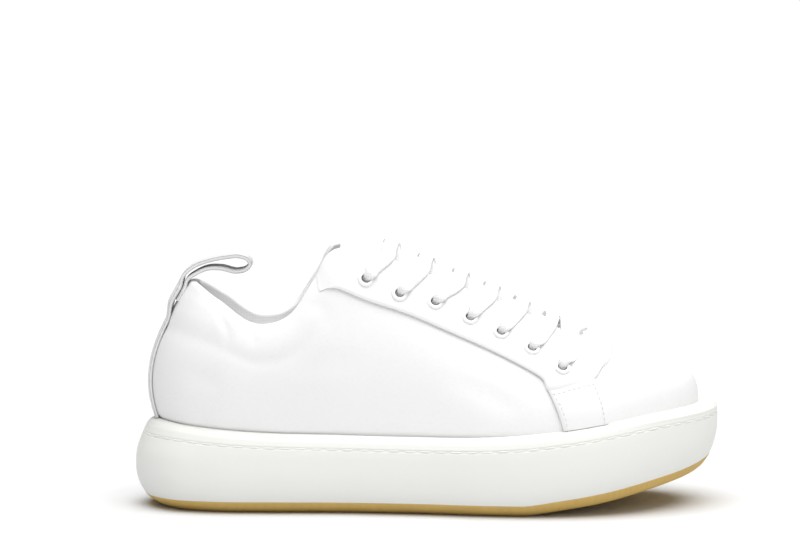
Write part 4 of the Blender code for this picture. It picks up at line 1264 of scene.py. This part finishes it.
def tuck(s, t):
    """How far the leather tucks in where it meets the sole, deepest towards the heel."""
    looks = bpy.context.scene.sneaker_leather
    front = blend(0.50, 0.75, length_share(outline_spot(s)[..., 0]))
    return looks.tuck * (1 - front) * np.exp(-(t / 0.016) ** 2)


def build_upper():
    """Hollow upper with padded collar, lining, creases and punched eyelet holes."""
    looks = bpy.context.scene.sneaker_leather
    s = stations(looks.stations)
    skirt = CLEARANCE - CUP_DEPTH
    rings = [sole_point(s, 1.0, 0.0, skirt)]
    shares = np.linspace(0.0, 1.0, looks.rings)
    shares = np.concatenate([[0.0, 0.004, 0.009, 0.015, 0.024], shares[2:]])
    for t in shares:
        rings.append(upper_point(s, t, puff(s, t) - tuck(s, t)))
    thick = wall(s, 1.0)
    up = unit(rib(s, 1.0) - rib(s, 0.98))
    top = rings[-1]
    under = upper_point(s, 1.0, -thick, False)
    outside = len(rings)
    for angle in np.linspace(0.0, math.pi, 9)[1:-1]:
        share = 0.5 - 0.5 * math.cos(angle)
        rings.append(top * (1 - share) + under * share + up * (0.42 * thick * math.sin(angle))[:, None])
    for t in shares[::-2]:
        rings.append(upper_point(s, t, -wall(s, t) - lining_swell(s, t), False))
    rings.append(sole_point(s, 1.0, WALL, skirt))
    count = len(s)
    zones = np.zeros((len(rings), count), dtype=int)
    zones[outside + 2:] = 1
    piece = make("upper_leather", np.concatenate(rings), ring_faces(len(rings), count, True),
                 [leather_finish("leather", looks.upper), lining_finish()], zones.ravel(), 60)
    apply_cut(piece, hole_cutter())
    return settle(piece, "leather", "upper")


def skive(away):
    """How much thinner a layer is at this distance from its cut edge."""
    looks = bpy.context.scene.sneaker_leather
    return looks.skive * (1 - blend(0.0, looks.skive_width, away))


def build_facing():
    """Eyestay layer round the throat, with its raw cut edge."""
    looks = bpy.context.scene.sneaker_leather
    place = np.linspace(FACING_TABLE[0][0], FACING_TABLE[-1][0], looks.facing_rows)[:, None]
    row = smooth(FACING_TABLE, place[:, 0])
    s, t = row[:, :1], row[:, 1:]
    part = spacing(looks.facing_columns, 0.5)[None, :]
    s = s + (place - s) * part
    t = t + (FACING_RIM - t) * part
    along = runs(rib(s, t), 0)
    ends = looks.end_skive * (1 - blend(0.0, 8 * looks.skive_width, np.minimum(along, along[-1:] - along)))
    toe = (looks.end_skive - looks.skive) * (1 - blend(0.22, 0.27, np.abs(place - 1.0)))
    toe = toe * (1 - blend(0.0, 3 * looks.skive_width, runs(rib(s, t), 1)))
    outer = upper_point(s, t, LAYER_GAP + LAYER - np.maximum(skive(runs(rib(s, t), 1)) + toe, ends))
    inner = upper_point(s, t, 0.0002)
    leather = leather_finish("layer_leather", looks.layer)
    cut = (np.abs(place - 1.0) > 1.0 - looks.raw_until) & (np.arange(looks.facing_columns)[None, :] == 0)
    piece = closed_sheet("facing_leather", outer, inner, [leather, leather, cut_finish()], cut)
    apply_cut(piece, hole_cutter())
    return settle(piece, "layer_leather", "facing")


def panel_grid(side, rows, columns):
    """Rib coordinates of a side panel, from the sole up to the facing."""
    feet = []
    for share in PANEL_FOOT:
        x = (share - 0.5) * SOLE_LENGTH
        feet.append(locate(x, float(sole_levels(x)[1]) - CLEARANCE))
    u = np.linspace(0.0, 1.0, rows)[:, None]
    low = feet[0] * (1 - u) + feet[1] * u
    high = smooth(FACING_TABLE, (PANEL_HEAD[0] * (1 - u) + PANEL_HEAD[1] * u)[:, 0])
    high = high - np.array((0.0, PANEL_INSET / INSTEP_HEIGHT))
    v = spacing(columns, 0.4)[None, :, None]
    grid = low[:, None] * (1 - v) + high[:, None] * v
    s = grid[..., 0] if side < 0 else 2.0 - grid[..., 0]
    return s, grid[..., 1]


def build_panels():
    """Box-shaped layers between the facing and the sole."""
    looks = bpy.context.scene.sneaker_leather
    leather = leather_finish("layer_leather", looks.layer)
    made = []
    for side, word in ((-1, "lateral"), (1, "medial")):
        s, t = panel_grid(side, 40, 60)
        outer = upper_point(s, t, LAYER_GAP + LAYER - skive(runs(rib(s, t), 0)))
        inner = upper_point(s, t, 0.0002)
        cut = (np.arange(40)[:, None] == 0) & np.ones((40, 60), dtype=bool)
        if side > 0:
            outer, inner, cut = outer[::-1], inner[::-1], cut[::-1]
        piece = closed_sheet(f"panel_leather_{word}", outer, inner, [leather, leather, cut_finish()], cut)
        made.append(settle(piece, "layer_leather", f"side_panel_{word}"))
    return made


def build_tongue():
    """Padded tongue with a rounded edge, under both flaps."""
    looks = bpy.context.scene.sneaker_textile
    top, front = TONGUE_SPAN
    place = top + (front - top) * spacing(looks.tongue_rows, 0.6)
    across = 1.6 * np.sin(0.5 * math.pi * np.linspace(-1.0, 1.0, looks.tongue_columns))
    rise = 0.003 * (1 - blend(top, top + 0.045, place))[:, None]
    narrow = 1.0 - 0.35 * rise / 0.003
    grid_place, grid_across = place[:, None], across[None, :] * narrow
    depth = WALL + LAYER_GAP + 0.25 * rise
    end = np.clip((place - top) / 0.03, 0.0, 1.0)[:, None]
    edge = np.sqrt(np.clip(1 - (across[None, :] / 1.6) ** 6, 0.0, 1.0)) * np.sqrt(1 - (1 - end) ** 2)
    sunk = 0.0004 * blend(0.75, 1.05, np.abs(grid_across))
    half = 0.5 * TONGUE_THICKNESS * (0.30 + 0.70 * edge)
    pad = looks.tongue_pad * np.exp(-((np.abs(grid_across)) / 0.55) ** 4) * edge
    middle = depth + 0.5 * TONGUE_THICKNESS + sunk
    up = unit(throat_line(top, 0.0) - throat_line(top + 0.04, 0.0)) * rise[..., None]
    outer = throat_point(grid_place, grid_across, -middle + half + pad) + up
    inner = throat_point(grid_place, grid_across, -middle - half) + up
    leather = leather_finish("tongue_leather", bpy.context.scene.sneaker_leather.layer)
    piece = closed_sheet("tongue_padded", outer, inner, [leather, lining_finish(), leather], None, 0.0004)
    return settle(piece, "tongue_leather", "tongue")


def heel_places(y, t):
    """Places around the shoe, near the heel, where the upper lies at each y."""
    low, high = np.zeros(np.shape(t + y)), np.full(np.shape(t + y), 0.2)
    for _ in range(22):
        middle = (low + high) / 2
        inside = np.abs(rib(middle, t + 0 * y)[..., 1]) < np.abs(y)
        low, high = np.where(inside, middle, low), np.where(inside, high, middle)
    return np.where(y < 0, middle, 2.0 - middle)


def strap_rows(t, lift, thick=STRAP_THICKNESS):
    """Outer and inner points across the strap where it lies on the heel."""
    columns = np.linspace(-1.0, 1.0, 17)
    y = 0.5 * STRAP_WIDTH * columns[None, :]
    s = heel_places(y, t[:, None])
    lift = np.broadcast_to(lift, t.shape)[:, None]
    thick = np.broadcast_to(thick, t.shape)[:, None]
    grid_t = np.broadcast_to(t[:, None], s.shape)
    return upper_point(s, grid_t, lift + thick, False), upper_point(s, grid_t, lift, False)


def build_strap():
    """Heel strip and pull loop, one ribbon with painted edges."""
    looks = bpy.context.scene.sneaker_leather
    under = LAYER_GAP
    over = under + STRAP_THICKNESS + LAYER_GAP
    base = float(sole_levels(rib(0.0, 0.0)[0])[1]) + 2 * CLEARANCE
    trial = np.linspace(0.0, 0.2, 101)
    low = trial[np.argmax(rib(np.zeros(101), trial)[:, 2] > base)]
    t = np.linspace(low, STRAP_TOP, 90)
    rising = blend(*looks.strap_lift, t)
    thick = 0.0015 + (STRAP_THICKNESS - 0.0015) * rising
    up_out, up_in = strap_rows(t, 0.0002 + (over - 0.0002) * rising, thick)
    back_out, back_in = strap_rows(np.linspace(STRAP_TOP, STRAP_END, 8), under)
    start, end = 0.5 * (up_out[-1, 8] + up_in[-1, 8]), 0.5 * (back_out[0, 8] + back_in[0, 8])
    sag = up_out[-1, 0, 0] - up_out[-1, 8, 0]
    edge = rib(0.0, 1.0)
    knots = [start]
    knots += [np.array((start[0] + forward * LOOP_LENGTH, 0.0, edge[2] + up * LOOP_RISE))
              for forward, up in LOOP_LINE]
    knots.append(end)
    run = np.concatenate([[0.0], np.cumsum(np.linalg.norm(np.diff(knots, axis=0), axis=1))])
    u = np.linspace(0.0, run[-1], 140)[1:-1]
    table = np.column_stack([run, knots])
    line = smooth(table, u)
    along = unit(smooth(table, u + 0.0003) - smooth(table, u - 0.0003))
    normal = stack(-along[:, 2], 0.0, along[:, 0])[:, None, :]
    columns = np.linspace(-1.0, 1.0, 17)
    ends = np.minimum(u, run[-1] - u) / 0.006
    bend = (sag * (1 - blend(0.0, 1.0, ends)))[:, None] * columns[None, :] ** 2
    flat = line[:, None, :] + stack(bend, 0.5 * STRAP_WIDTH * columns[None, :] * np.ones_like(bend), 0.0)
    loop_out, loop_in = flat + normal * 0.5 * STRAP_THICKNESS, flat - normal * 0.5 * STRAP_THICKNESS
    outer = np.concatenate([up_out, loop_out, back_in])
    inner = np.concatenate([up_in, loop_in, back_out])
    finishes = [leather_finish("strap_webbing", looks.strap), backing_finish(), cut_finish()]
    piece = closed_sheet("heel_strap_loop", outer[:, ::-1], inner[:, ::-1], finishes, None, 0.0001)
    return settle(piece, "strap_webbing", "heel_strap")


def build_eyelets():
    """Rolled eyelets in both rows, one joined piece."""
    looks = bpy.context.scene.sneaker_trim
    places = eyelet_places()
    points = [base + axis * looks.eyelet_stand for _, _, _, base, axis in places]
    ups = [axis for _, _, _, _, axis in places]
    piece = run_tree("eyelet_rings", eyelet_tree(), points, ups, [], {"Material": enamel_finish()})
    names = [f"eyelet_{'lateral' if side < 0 else 'medial'}_{row + 1}" for side, row, _, _, _ in places]
    return settle(piece, "eyelet_enamel", *names)


def lace_start(s, t):
    """Distance across at which a lace is clear of an eyelet's flange."""
    centre = rib(s, t)
    while np.linalg.norm(rib(s, t) - centre) < 0.0055:
        t += 0.002
    return -1.0 - (1.0 - t) / FLAP_SHARE


class LaceRoute:
    """The lace as knots: point, outward normal or None in a hole, share of width, of thickness."""

    on_flap = LAYER_GAP + LAYER + 0.55 * LACE_THICKNESS
    under_flap = -WALL - 0.60 * LACE_THICKNESS

    def __init__(self):
        self.x = [rib(s, t)[0] for s, t in EYELET_SPOTS]
        self.starts = [lace_start(s, t) for s, t in EYELET_SPOTS]
        self.holes = {(side, row): (base, axis) for side, row, _, base, axis in eyelet_places()}
        self.knots = []

    def over(self, x, across, lift, width=1.0, thick=1.0):
        """A knot over the instep."""
        station = station_at(x, across)
        point = throat_point(station, across, lift)
        normal = unit(throat_point(station, across, lift + 0.001) - point)
        self.knots.append((point, normal, width, thick))

    def hole(self, side, row):
        """Up through an eyelet from inside, and over its flange towards the throat."""
        base, axis = self.holes[(side, row)]
        ahead = self.x[row] + (0.0105 if row + 1 < len(self.x) else 0.0045)
        to = throat_point(station_at(ahead, side * 1.0), side * 1.0, 0.0) - base
        to = unit(to - axis * (to @ axis))
        for forward, height, width in ((0.0005, -0.0034, 0.6), (0.0007, -0.0006, 0.5),
                                       (0.0010, 0.0010, 0.56), (0.0028, 0.0021, 0.85)):
            self.knots.append((base + to * forward + axis * height, None, width, 1.6 - 0.6 * width))

    def crossing(self, side, row):
        """From an eyelet over its own flap and down under the other flap."""
        lift = LaceRoute.on_flap
        deep = LaceRoute.under_flap
        aside = 0.0005 if side < 0 else -0.0005
        start = self.starts[row]
        course = ((start, lift + 0.0003, 0.19), (0.5 * (start - 1.0), lift, 0.42), (-1.0, lift, 0.62),
                  (-0.6, 0.55 * lift, 0.72), (0.0, 0.10 * lift + aside, 0.82), (0.5, 0.50 * deep, 0.90),
                  (0.85, deep, 0.95), (1.12, deep, 0.98))
        for across, height, share in course:
            x = self.x[row] + (self.x[row + 1] - self.x[row]) * share
            self.over(x, -across * side, height)


def half_lace(side):
    """Knots from inside a top eyelet, crossing at each row down to a lowest eyelet."""
    route = LaceRoute()
    now = side
    for row in range(len(EYELET_SPOTS) - 1):
        route.hole(now, row)
        route.crossing(now, row)
        now = -now
    route.hole(now, len(EYELET_SPOTS) - 1)
    return route.knots


def lace_knots():
    """The whole lace: down one way, along the lowest bar and up the other way."""
    route = LaceRoute()
    start = route.starts[-1]
    x = route.x[-1] + LACE_WIDTH / 3
    for across in (start, -1.0, -0.5, 0.0, 0.5, 1.0, -start):
        route.over(x, across, LaceRoute.on_flap - 0.0004 * (1 - min(abs(across), 1.0)))
    return half_lace(-1) + route.knots + half_lace(1)[::-1]


def build_laces():
    """One flat cotton lace through every eyelet, its ends hidden inside the top pair."""
    looks = bpy.context.scene.sneaker_textile
    knots = lace_knots()
    points = np.array([knot[0] for knot in knots])
    run = np.concatenate([[0.0], np.cumsum(np.linalg.norm(np.diff(points, axis=0), axis=1))])
    table = np.column_stack([run, points, [knot[2:] for knot in knots]])
    sides = []
    for k, (_, normal, _, _) in enumerate(knots):
        if normal is None:
            sides.append(None)
            continue
        along = points[min(k + 1, len(points) - 1)] - points[max(k - 1, 0)]
        side = unit(np.cross(normal, along))
        last = next((other for other in reversed(sides) if other is not None), side)
        sides.append(side if side @ last > 0 else -side)
    known = [k for k, side in enumerate(sides) if side is not None]
    rows = int(run[-1] / looks.lace_step)
    u = np.linspace(0.0, run[-1], rows)
    line = smooth(table, u)
    centre, share = line[:, :3], line[:, 3:]
    along = unit(np.gradient(centre, axis=0))
    across = np.column_stack([np.interp(u, run[known], [sides[k][i] for k in known]) for i in range(3)])
    across = unit(across - along * np.sum(across * along, axis=1, keepdims=True))
    high = np.cross(along, across)
    count = 16
    angle = 2 * math.pi * (np.arange(count) + 0.5) / count
    flat = np.sign(np.cos(angle)) * np.abs(np.cos(angle)) ** 0.45
    tall = np.sign(np.sin(angle)) * np.abs(np.sin(angle)) ** 0.75
    width = 0.5 * LACE_WIDTH * share[:, :1] * flat
    height = 0.5 * LACE_THICKNESS * share[:, 1:] * tall
    rings = centre[:, None] + width[..., None] * across[:, None] + height[..., None] * high[:, None]
    faces = ring_faces(rows, count)
    faces += [tuple(range(count - 1, -1, -1)), tuple(range((rows - 1) * count, rows * count))]
    piece = make("lace_woven", rings.reshape(-1, 3), faces, [lace_finish()])
    length = np.concatenate([[0.0], np.cumsum(np.linalg.norm(np.diff(centre, axis=0), axis=1))])
    spread = stack(length[:, None], 0.5 + 0.5 * flat[None, :]).reshape(-1, 2)
    weave = piece.data.uv_layers.new(name="weave")
    spots = np.zeros(len(piece.data.loops), dtype=np.int32)
    piece.data.loops.foreach_get("vertex_index", spots)
    weave.data.foreach_set("uv", spread[spots].astype(np.float32).ravel())
    print("lace length", round(float(length[-1]), 4))
    names = [f"lace_crossing_{row}" for row in range(1, len(EYELET_SPOTS))]
    return settle(piece, "lace_cotton", "lace_bar", *names)


def groove_line(count):
    """The stitch groove's middle line round the sole, with its outward directions."""
    s = np.linspace(0.0, 2.0, count)
    _, out = outline(s)
    line = sole_point(s, GROOVE_CENTRE, bpy.context.scene.sneaker_sole.groove - 0.0001)
    return line, stack(out[:, 0], out[:, 1], 0.0)


def build_sole_stitches():
    """Thick sidewall stitches that lie in the groove."""
    looks = bpy.context.scene.sneaker_stitch
    thread = thread_finish("sole_thread", looks.sole_thread)
    piece = sew("sole_stitches", [groove_line(1200)], thread,
                looks.sole_pitch, looks.sole_pitch * SOLE_STITCH_SHARE, SOLE_STITCH_THICKNESS)
    return settle(piece, "sole_rubber")


def build_panel_stitches():
    """Fine stitches inside the side panels' edges, and a row along the facing's raw edge."""
    looks = bpy.context.scene.sneaker_stitch
    lift = LAYER_GAP + LAYER + 0.00005
    lines = []
    for side in (-1, 1):
        s, t = panel_grid(side, 80, 80)
        points = upper_point(s, t, lift)
        around = runs(points, 0)
        upward = runs(points, 1)
        rows = {
            "rear": (around > looks.margin).argmax(0),
            "front": (around > around[-1] - looks.margin).argmax(0),
        }
        columns = (upward > upward[:, -1:] - looks.margin).argmax(1)
        for which in ("rear", "front"):
            index = rows[which]
            keep = slice(1, int(columns[index[40]]) + 1)
            line_s = s[index, np.arange(80)][keep]
            line_t = t[index, np.arange(80)][keep]
            lines.append(seam(line_s, line_t, lift))
        first, last = int(rows["rear"][60]), int(rows["front"][60]) + 1
        line_s = s[np.arange(80), columns][first:last]
        line_t = t[np.arange(80), columns][first:last]
        lines.append(seam(line_s, line_t, lift))
    thread = thread_finish("upper_thread", looks.thread)
    piece = sew("upper_stitches", lines, thread, looks.pitch, looks.pitch * FINE_STITCH_SHARE, looks.thickness)
    return settle(piece, "layer_leather")


# Stage

def soft_light(name, strength, spread, way):
    """A wide, far light bank that shines one way."""
    light = bpy.data.lights.new(name, "SUN")
    light.energy = strength
    light.angle = spread
    lamp = bpy.data.objects.new(name, light)
    lamp.location = (0.0, 0.0, 2.0)
    lamp.rotation_euler = Vector(way).to_track_quat("-Z", "Y").to_euler()
    return lamp


def build_stage():
    """Pale floor, soft studio light and the camera at the photograph's angle."""
    looks = bpy.context.scene.sneaker_stage
    scene = bpy.context.scene
    floor_mesh = bpy.data.meshes.new("studio_floor")
    half = looks.floor_size / 2
    corners = [(-half, -half, 0), (half, -half, 0), (half, half, 0), (-half, half, 0)]
    floor_mesh.from_pydata(corners, [], [(0, 1, 2, 3)])
    floor = bpy.data.objects.new("studio_floor", floor_mesh)
    made = Finish("studio_paper")
    grain = made.noise(made.place(), 900.0, 2.0)
    base = made.mix(grain, shade(looks.floor, 0.995), looks.floor)
    floor_mesh.materials.append(made.set(Base_Color=base, Roughness=0.9, Specular_IOR_Level=0.0))
    world = bpy.data.worlds.new("studio_world")
    world.use_nodes = True
    sky = world.node_tree.nodes["Background"]
    sky.inputs["Color"].default_value = (*looks.sky, 1.0)
    sky.inputs["Strength"].default_value = looks.sky_strength
    scene.world = world
    staged = [floor, soft_light("overhead_bank", looks.top_light, looks.top_spread, looks.top_way),
              soft_light("front_bank", looks.front_light, looks.front_spread, looks.front_way)]
    lens = bpy.data.cameras.new("studio_camera")
    lens.sensor_width = 36.0
    lens.lens = looks.lens
    lens.dof.use_dof = False
    camera = bpy.data.objects.new("studio_camera", lens)
    aim = Vector(looks.aim)
    back = Vector((0.0, -math.cos(looks.elevation), math.sin(looks.elevation)))
    camera.location = aim + back * looks.distance
    camera.rotation_euler = (-back).to_track_quat("-Z", "Y").to_euler()
    staged.append(camera)
    for item in staged:
        scene.collection.objects.link(item)
    scene.camera = camera
    scene.view_settings.view_transform = "Standard"
    return staged


# Settings, operators and panel

def colour(name, note, value):
    """A colour setting."""
    return FloatVectorProperty(name=name, description=note, default=value, size=3, min=0.0, max=1.0,
                               subtype="COLOR")


def length(name, note, value):
    """A length setting in metres."""
    return FloatProperty(name=name, description=note, default=value, min=0.0, subtype="DISTANCE",
                         unit="LENGTH", precision=5)


def factor(name, note, value):
    """A setting from 0 to 1."""
    return FloatProperty(name=name, description=note, default=value, min=0.0, max=1.0, subtype="FACTOR")


def amount(name, note, value):
    """A whole number."""
    return IntProperty(name=name, description=note, default=value, min=4)


class SNEAKER_PG_sole(bpy.types.PropertyGroup):
    """Sole and footbed"""
    stations: amount("Stations", "Points round each ring of the sole", 320)
    gum: colour("Gum", "Colour of the outsole", (0.64, 0.44, 0.14))
    rubber: colour("Rubber", "Colour of the midsole's upper part", (0.815, 0.825, 0.785))
    # Painted shade: a slightly darker colour for the bottom of the midsole's side.
    rubber_low_shade: colour("Rubber low", "Colour of the midsole just above the gum", (0.80, 0.81, 0.79))
    groove: length("Groove", "Depth of the stitch groove", 0.00035)
    snug: length("Snug", "How far the ledge presses into the leather", 0.0001)
    bead: length("Bead", "How far the outsole's top bead stands out", 0.00015)
    rib_pitch: length("Rib pitch", "Pitch of the fine ribs under the outsole", 0.0011)


class SNEAKER_PG_leather(bpy.types.PropertyGroup):
    """Leather of the upper, its layers and its strap"""
    stations: amount("Stations", "Points round each ring of the upper", 400)
    rings: amount("Rings", "Rings from the sole to the collar", 61)
    facing_rows: amount("Facing rows", "Rows of the facing from collar to collar", 340)
    facing_columns: amount("Facing columns", "Columns of the facing", 34)
    upper: colour("Upper", "Colour of the upper's leather", (0.87, 0.87, 0.872))
    layer: colour("Layer", "Colour of the layers' leather", (0.88, 0.88, 0.88))
    strap: colour("Strap", "Colour of the heel strap", (0.82, 0.82, 0.82))
    cut_border: colour("Cut border", "Colour of a cut edge along its borders", (0.50, 0.50, 0.51))
    cut_middle: colour("Cut middle", "Colour of a cut edge's middle", (0.80, 0.80, 0.81))
    grain: length("Grain", "Size of the leather's pores", 0.0009)
    grain_depth: length("Grain depth", "Depth of the pores", 0.00004)
    roughness: factor("Roughness", "Roughness of the leather", 0.48)
    # Painted shade in part: a grey for the strap's back, which darkens the inside of the pull loop.
    backing_shade: colour("Backing", "Colour of the strap's felted back", (0.70, 0.70, 0.70))
    skive: length("Skive", "How much thinner the layers are at a cut edge", 0.0007)
    end_skive: length("End skive", "How much thinner the facing is behind and towards the toe", 0.0015)
    skive_width: length("Skive width", "How far from a cut edge the layers are thinner", 0.0014)
    tuck: length("Tuck", "How far the leather tucks in above the sole", 0.0007)
    raw_until: factor("Raw until", "Place round the throat up to which the facing's edge is raw", 0.722)
    strap_lift: FloatVectorProperty(
        name="Strap lift", description="Shares of the heel between which the strip rises",
        size=2, default=(0.70, 0.85), min=0.0, max=1.0)
    puff: length("Puff", "How far the collar's padding swells", 0.0009)


class SNEAKER_PG_textile(bpy.types.PropertyGroup):
    """Lining, footbed, tongue and lace"""
    lining: colour("Lining", "Colour of the lining", (0.96, 0.96, 0.96))
    collar_pad: length("Collar pad", "How far the collar's padding swells the lining", 0.0026)
    lining_pitch: length("Lining pitch", "Pitch of the lining's weave", 0.0007)
    footbed: colour("Footbed", "Colour of the footbed", (0.86, 0.85, 0.83))
    lace: colour("Lace", "Colour of the lace", (0.90, 0.90, 0.90))
    weave_pitch: length("Weave pitch", "Pitch of the lace's braid", 0.0011)
    lace_step: length("Lace step", "Step between the rings of the lace", 0.0008)
    tongue_rows: amount("Tongue rows", "Rows along the tongue", 90)
    tongue_columns: amount("Tongue columns", "Columns across the tongue", 60)
    tongue_pad: length("Tongue pad", "Extra height of the tongue's middle", 0.0007)


class SNEAKER_PG_trim(bpy.types.PropertyGroup):
    """Eyelets"""
    enamel: colour("Enamel", "Colour of the eyelets", (0.90, 0.90, 0.90))
    eyelet_stand: length("Stand", "How far the middle of a flange stands off the facing", 0.0002)


class SNEAKER_PG_stitch(bpy.types.PropertyGroup):
    """Stitches"""
    thread: colour("Thread", "Colour of the thread on the layers", (0.74, 0.74, 0.77))
    sole_thread: colour("Sole thread", "Colour of the thread in the groove", (0.85, 0.855, 0.83))
    pitch: length("Pitch", "Pitch of the fine stitches", 0.0024)
    thickness: length("Thickness", "Thickness of the fine thread", 0.00055)
    margin: length("Margin", "Distance of a seam from the edge", 0.0022)
    sole_pitch: length("Sole pitch", "Pitch of the stitches in the groove", 0.0074)


class SNEAKER_PG_stage(bpy.types.PropertyGroup):
    """Floor, light and camera"""
    floor: colour("Floor", "Colour of the floor", (0.735, 0.735, 0.735))
    floor_size: length("Floor size", "Side of the square floor", 60.0)
    sky: colour("Sky", "Colour of the surrounding light", (1.0, 1.0, 1.0))
    sky_strength: FloatProperty(name="Sky strength", description="Strength of the surrounding light",
                                default=0.15, min=0.0)
    top_light: FloatProperty(name="Top light", description="Strength of the overhead light bank",
                             default=3.9, min=0.0)
    top_spread: FloatProperty(name="Top spread", description="Angle that the overhead light bank fills",
                              default=math.radians(70), subtype="ANGLE", unit="ROTATION")
    top_way: FloatVectorProperty(name="Top way", description="Way that the overhead light shines", size=3,
                                 default=(-0.08, 0.09, -1.0), subtype="DIRECTION")
    front_light: FloatProperty(name="Front light", description="Strength of the light bank behind the camera",
                               default=0.68, min=0.0)
    front_spread: FloatProperty(name="Front spread", description="Angle that the front light bank fills",
                                default=math.radians(60), subtype="ANGLE", unit="ROTATION")
    front_way: FloatVectorProperty(name="Front way", description="Way that the front light shines", size=3,
                                   default=(-0.2, 1.0, -0.35), subtype="DIRECTION")
    lens: FloatProperty(name="Lens", description="Focal length in millimetres", default=149.5, min=1.0)
    elevation: FloatProperty(name="Elevation", description="Height angle of the camera",
                             default=math.radians(5.5), subtype="ANGLE", unit="ROTATION")
    distance: length("Distance", "Distance from the camera to its aim", 1.6)
    aim: FloatVectorProperty(name="Aim", description="Point that the camera looks at", size=3,
                             default=(-0.01316, 0.0, 0.1148), subtype="XYZ", unit="LENGTH")


GROUPS = {
    "sneaker_sole": SNEAKER_PG_sole,
    "sneaker_leather": SNEAKER_PG_leather,
    "sneaker_textile": SNEAKER_PG_textile,
    "sneaker_trim": SNEAKER_PG_trim,
    "sneaker_stitch": SNEAKER_PG_stitch,
    "sneaker_stage": SNEAKER_PG_stage,
}


class SNEAKER_OT_sole(bpy.types.Operator):
    """Build the gum outsole, the midsole, its stitches and the footbed"""
    bl_idname = "sneaker.sole"
    bl_label = "Sole"

    def execute(self, context):
        build_outsole()
        build_midsole()
        build_insole()
        build_sole_stitches()
        return {"FINISHED"}


class SNEAKER_OT_upper(bpy.types.Operator):
    """Build the upper with its padded collar and lining"""
    bl_idname = "sneaker.upper"
    bl_label = "Upper"

    def execute(self, context):
        build_upper()
        return {"FINISHED"}


class SNEAKER_OT_layers(bpy.types.Operator):
    """Build the facing, the side panels and their stitches"""
    bl_idname = "sneaker.layers"
    bl_label = "Layers"

    def execute(self, context):
        build_facing()
        build_panels()
        build_panel_stitches()
        return {"FINISHED"}


class SNEAKER_OT_tongue(bpy.types.Operator):
    """Build the padded tongue"""
    bl_idname = "sneaker.tongue"
    bl_label = "Tongue"

    def execute(self, context):
        build_tongue()
        return {"FINISHED"}


class SNEAKER_OT_strap(bpy.types.Operator):
    """Build the heel strip with its pull loop"""
    bl_idname = "sneaker.strap"
    bl_label = "Heel strap"

    def execute(self, context):
        build_strap()
        return {"FINISHED"}


class SNEAKER_OT_laces(bpy.types.Operator):
    """Build the eyelets and the lace"""
    bl_idname = "sneaker.laces"
    bl_label = "Eyelets and lace"

    def execute(self, context):
        build_eyelets()
        build_laces()
        return {"FINISHED"}


class SNEAKER_OT_stage(bpy.types.Operator):
    """Set the floor, the light and the camera"""
    bl_idname = "sneaker.stage"
    bl_label = "Stage"

    def execute(self, context):
        build_stage()
        return {"FINISHED"}


OPERATORS = (
    SNEAKER_OT_sole,
    SNEAKER_OT_upper,
    SNEAKER_OT_layers,
    SNEAKER_OT_tongue,
    SNEAKER_OT_strap,
    SNEAKER_OT_laces,
    SNEAKER_OT_stage,
)


class SNEAKER_PT_panel(bpy.types.Panel):
    """Settings and builders of the sneaker"""
    bl_idname = "SNEAKER_PT_panel"
    bl_label = "Platform sneaker"
    bl_space_type = "VIEW_3D"
    bl_region_type = "UI"
    bl_category = "Sneaker"

    def draw(self, context):
        for operator in OPERATORS:
            self.layout.operator(operator.bl_idname)
        for name, group in GROUPS.items():
            box = self.layout.box()
            box.label(text=group.__doc__)
            for key in group.__annotations__:
                box.prop(getattr(context.scene, name), key)


def register():
    """Register the classes and attach the settings to the scene."""
    for group in GROUPS.values():
        bpy.utils.register_class(group)
    for operator in OPERATORS:
        bpy.utils.register_class(operator)
    bpy.utils.register_class(SNEAKER_PT_panel)
    for name, group in GROUPS.items():
        setattr(bpy.types.Scene, name, PointerProperty(type=group))


def unregister():
    """Detach the settings and unregister the classes."""
    for name in GROUPS:
        delattr(bpy.types.Scene, name)
    bpy.utils.unregister_class(SNEAKER_PT_panel)
    for operator in reversed(OPERATORS):
        bpy.utils.unregister_class(operator)
    for group in GROUPS.values():
        bpy.utils.unregister_class(group)


def main():
    """Build everything and write the two boxes."""
    register()
    bpy.ops.sneaker.sole()
    bpy.ops.sneaker.upper()
    bpy.ops.sneaker.layers()
    bpy.ops.sneaker.tongue()
    bpy.ops.sneaker.strap()
    bpy.ops.sneaker.laces()
    bpy.ops.sneaker.stage()


if __name__ == "__main__":
    main()
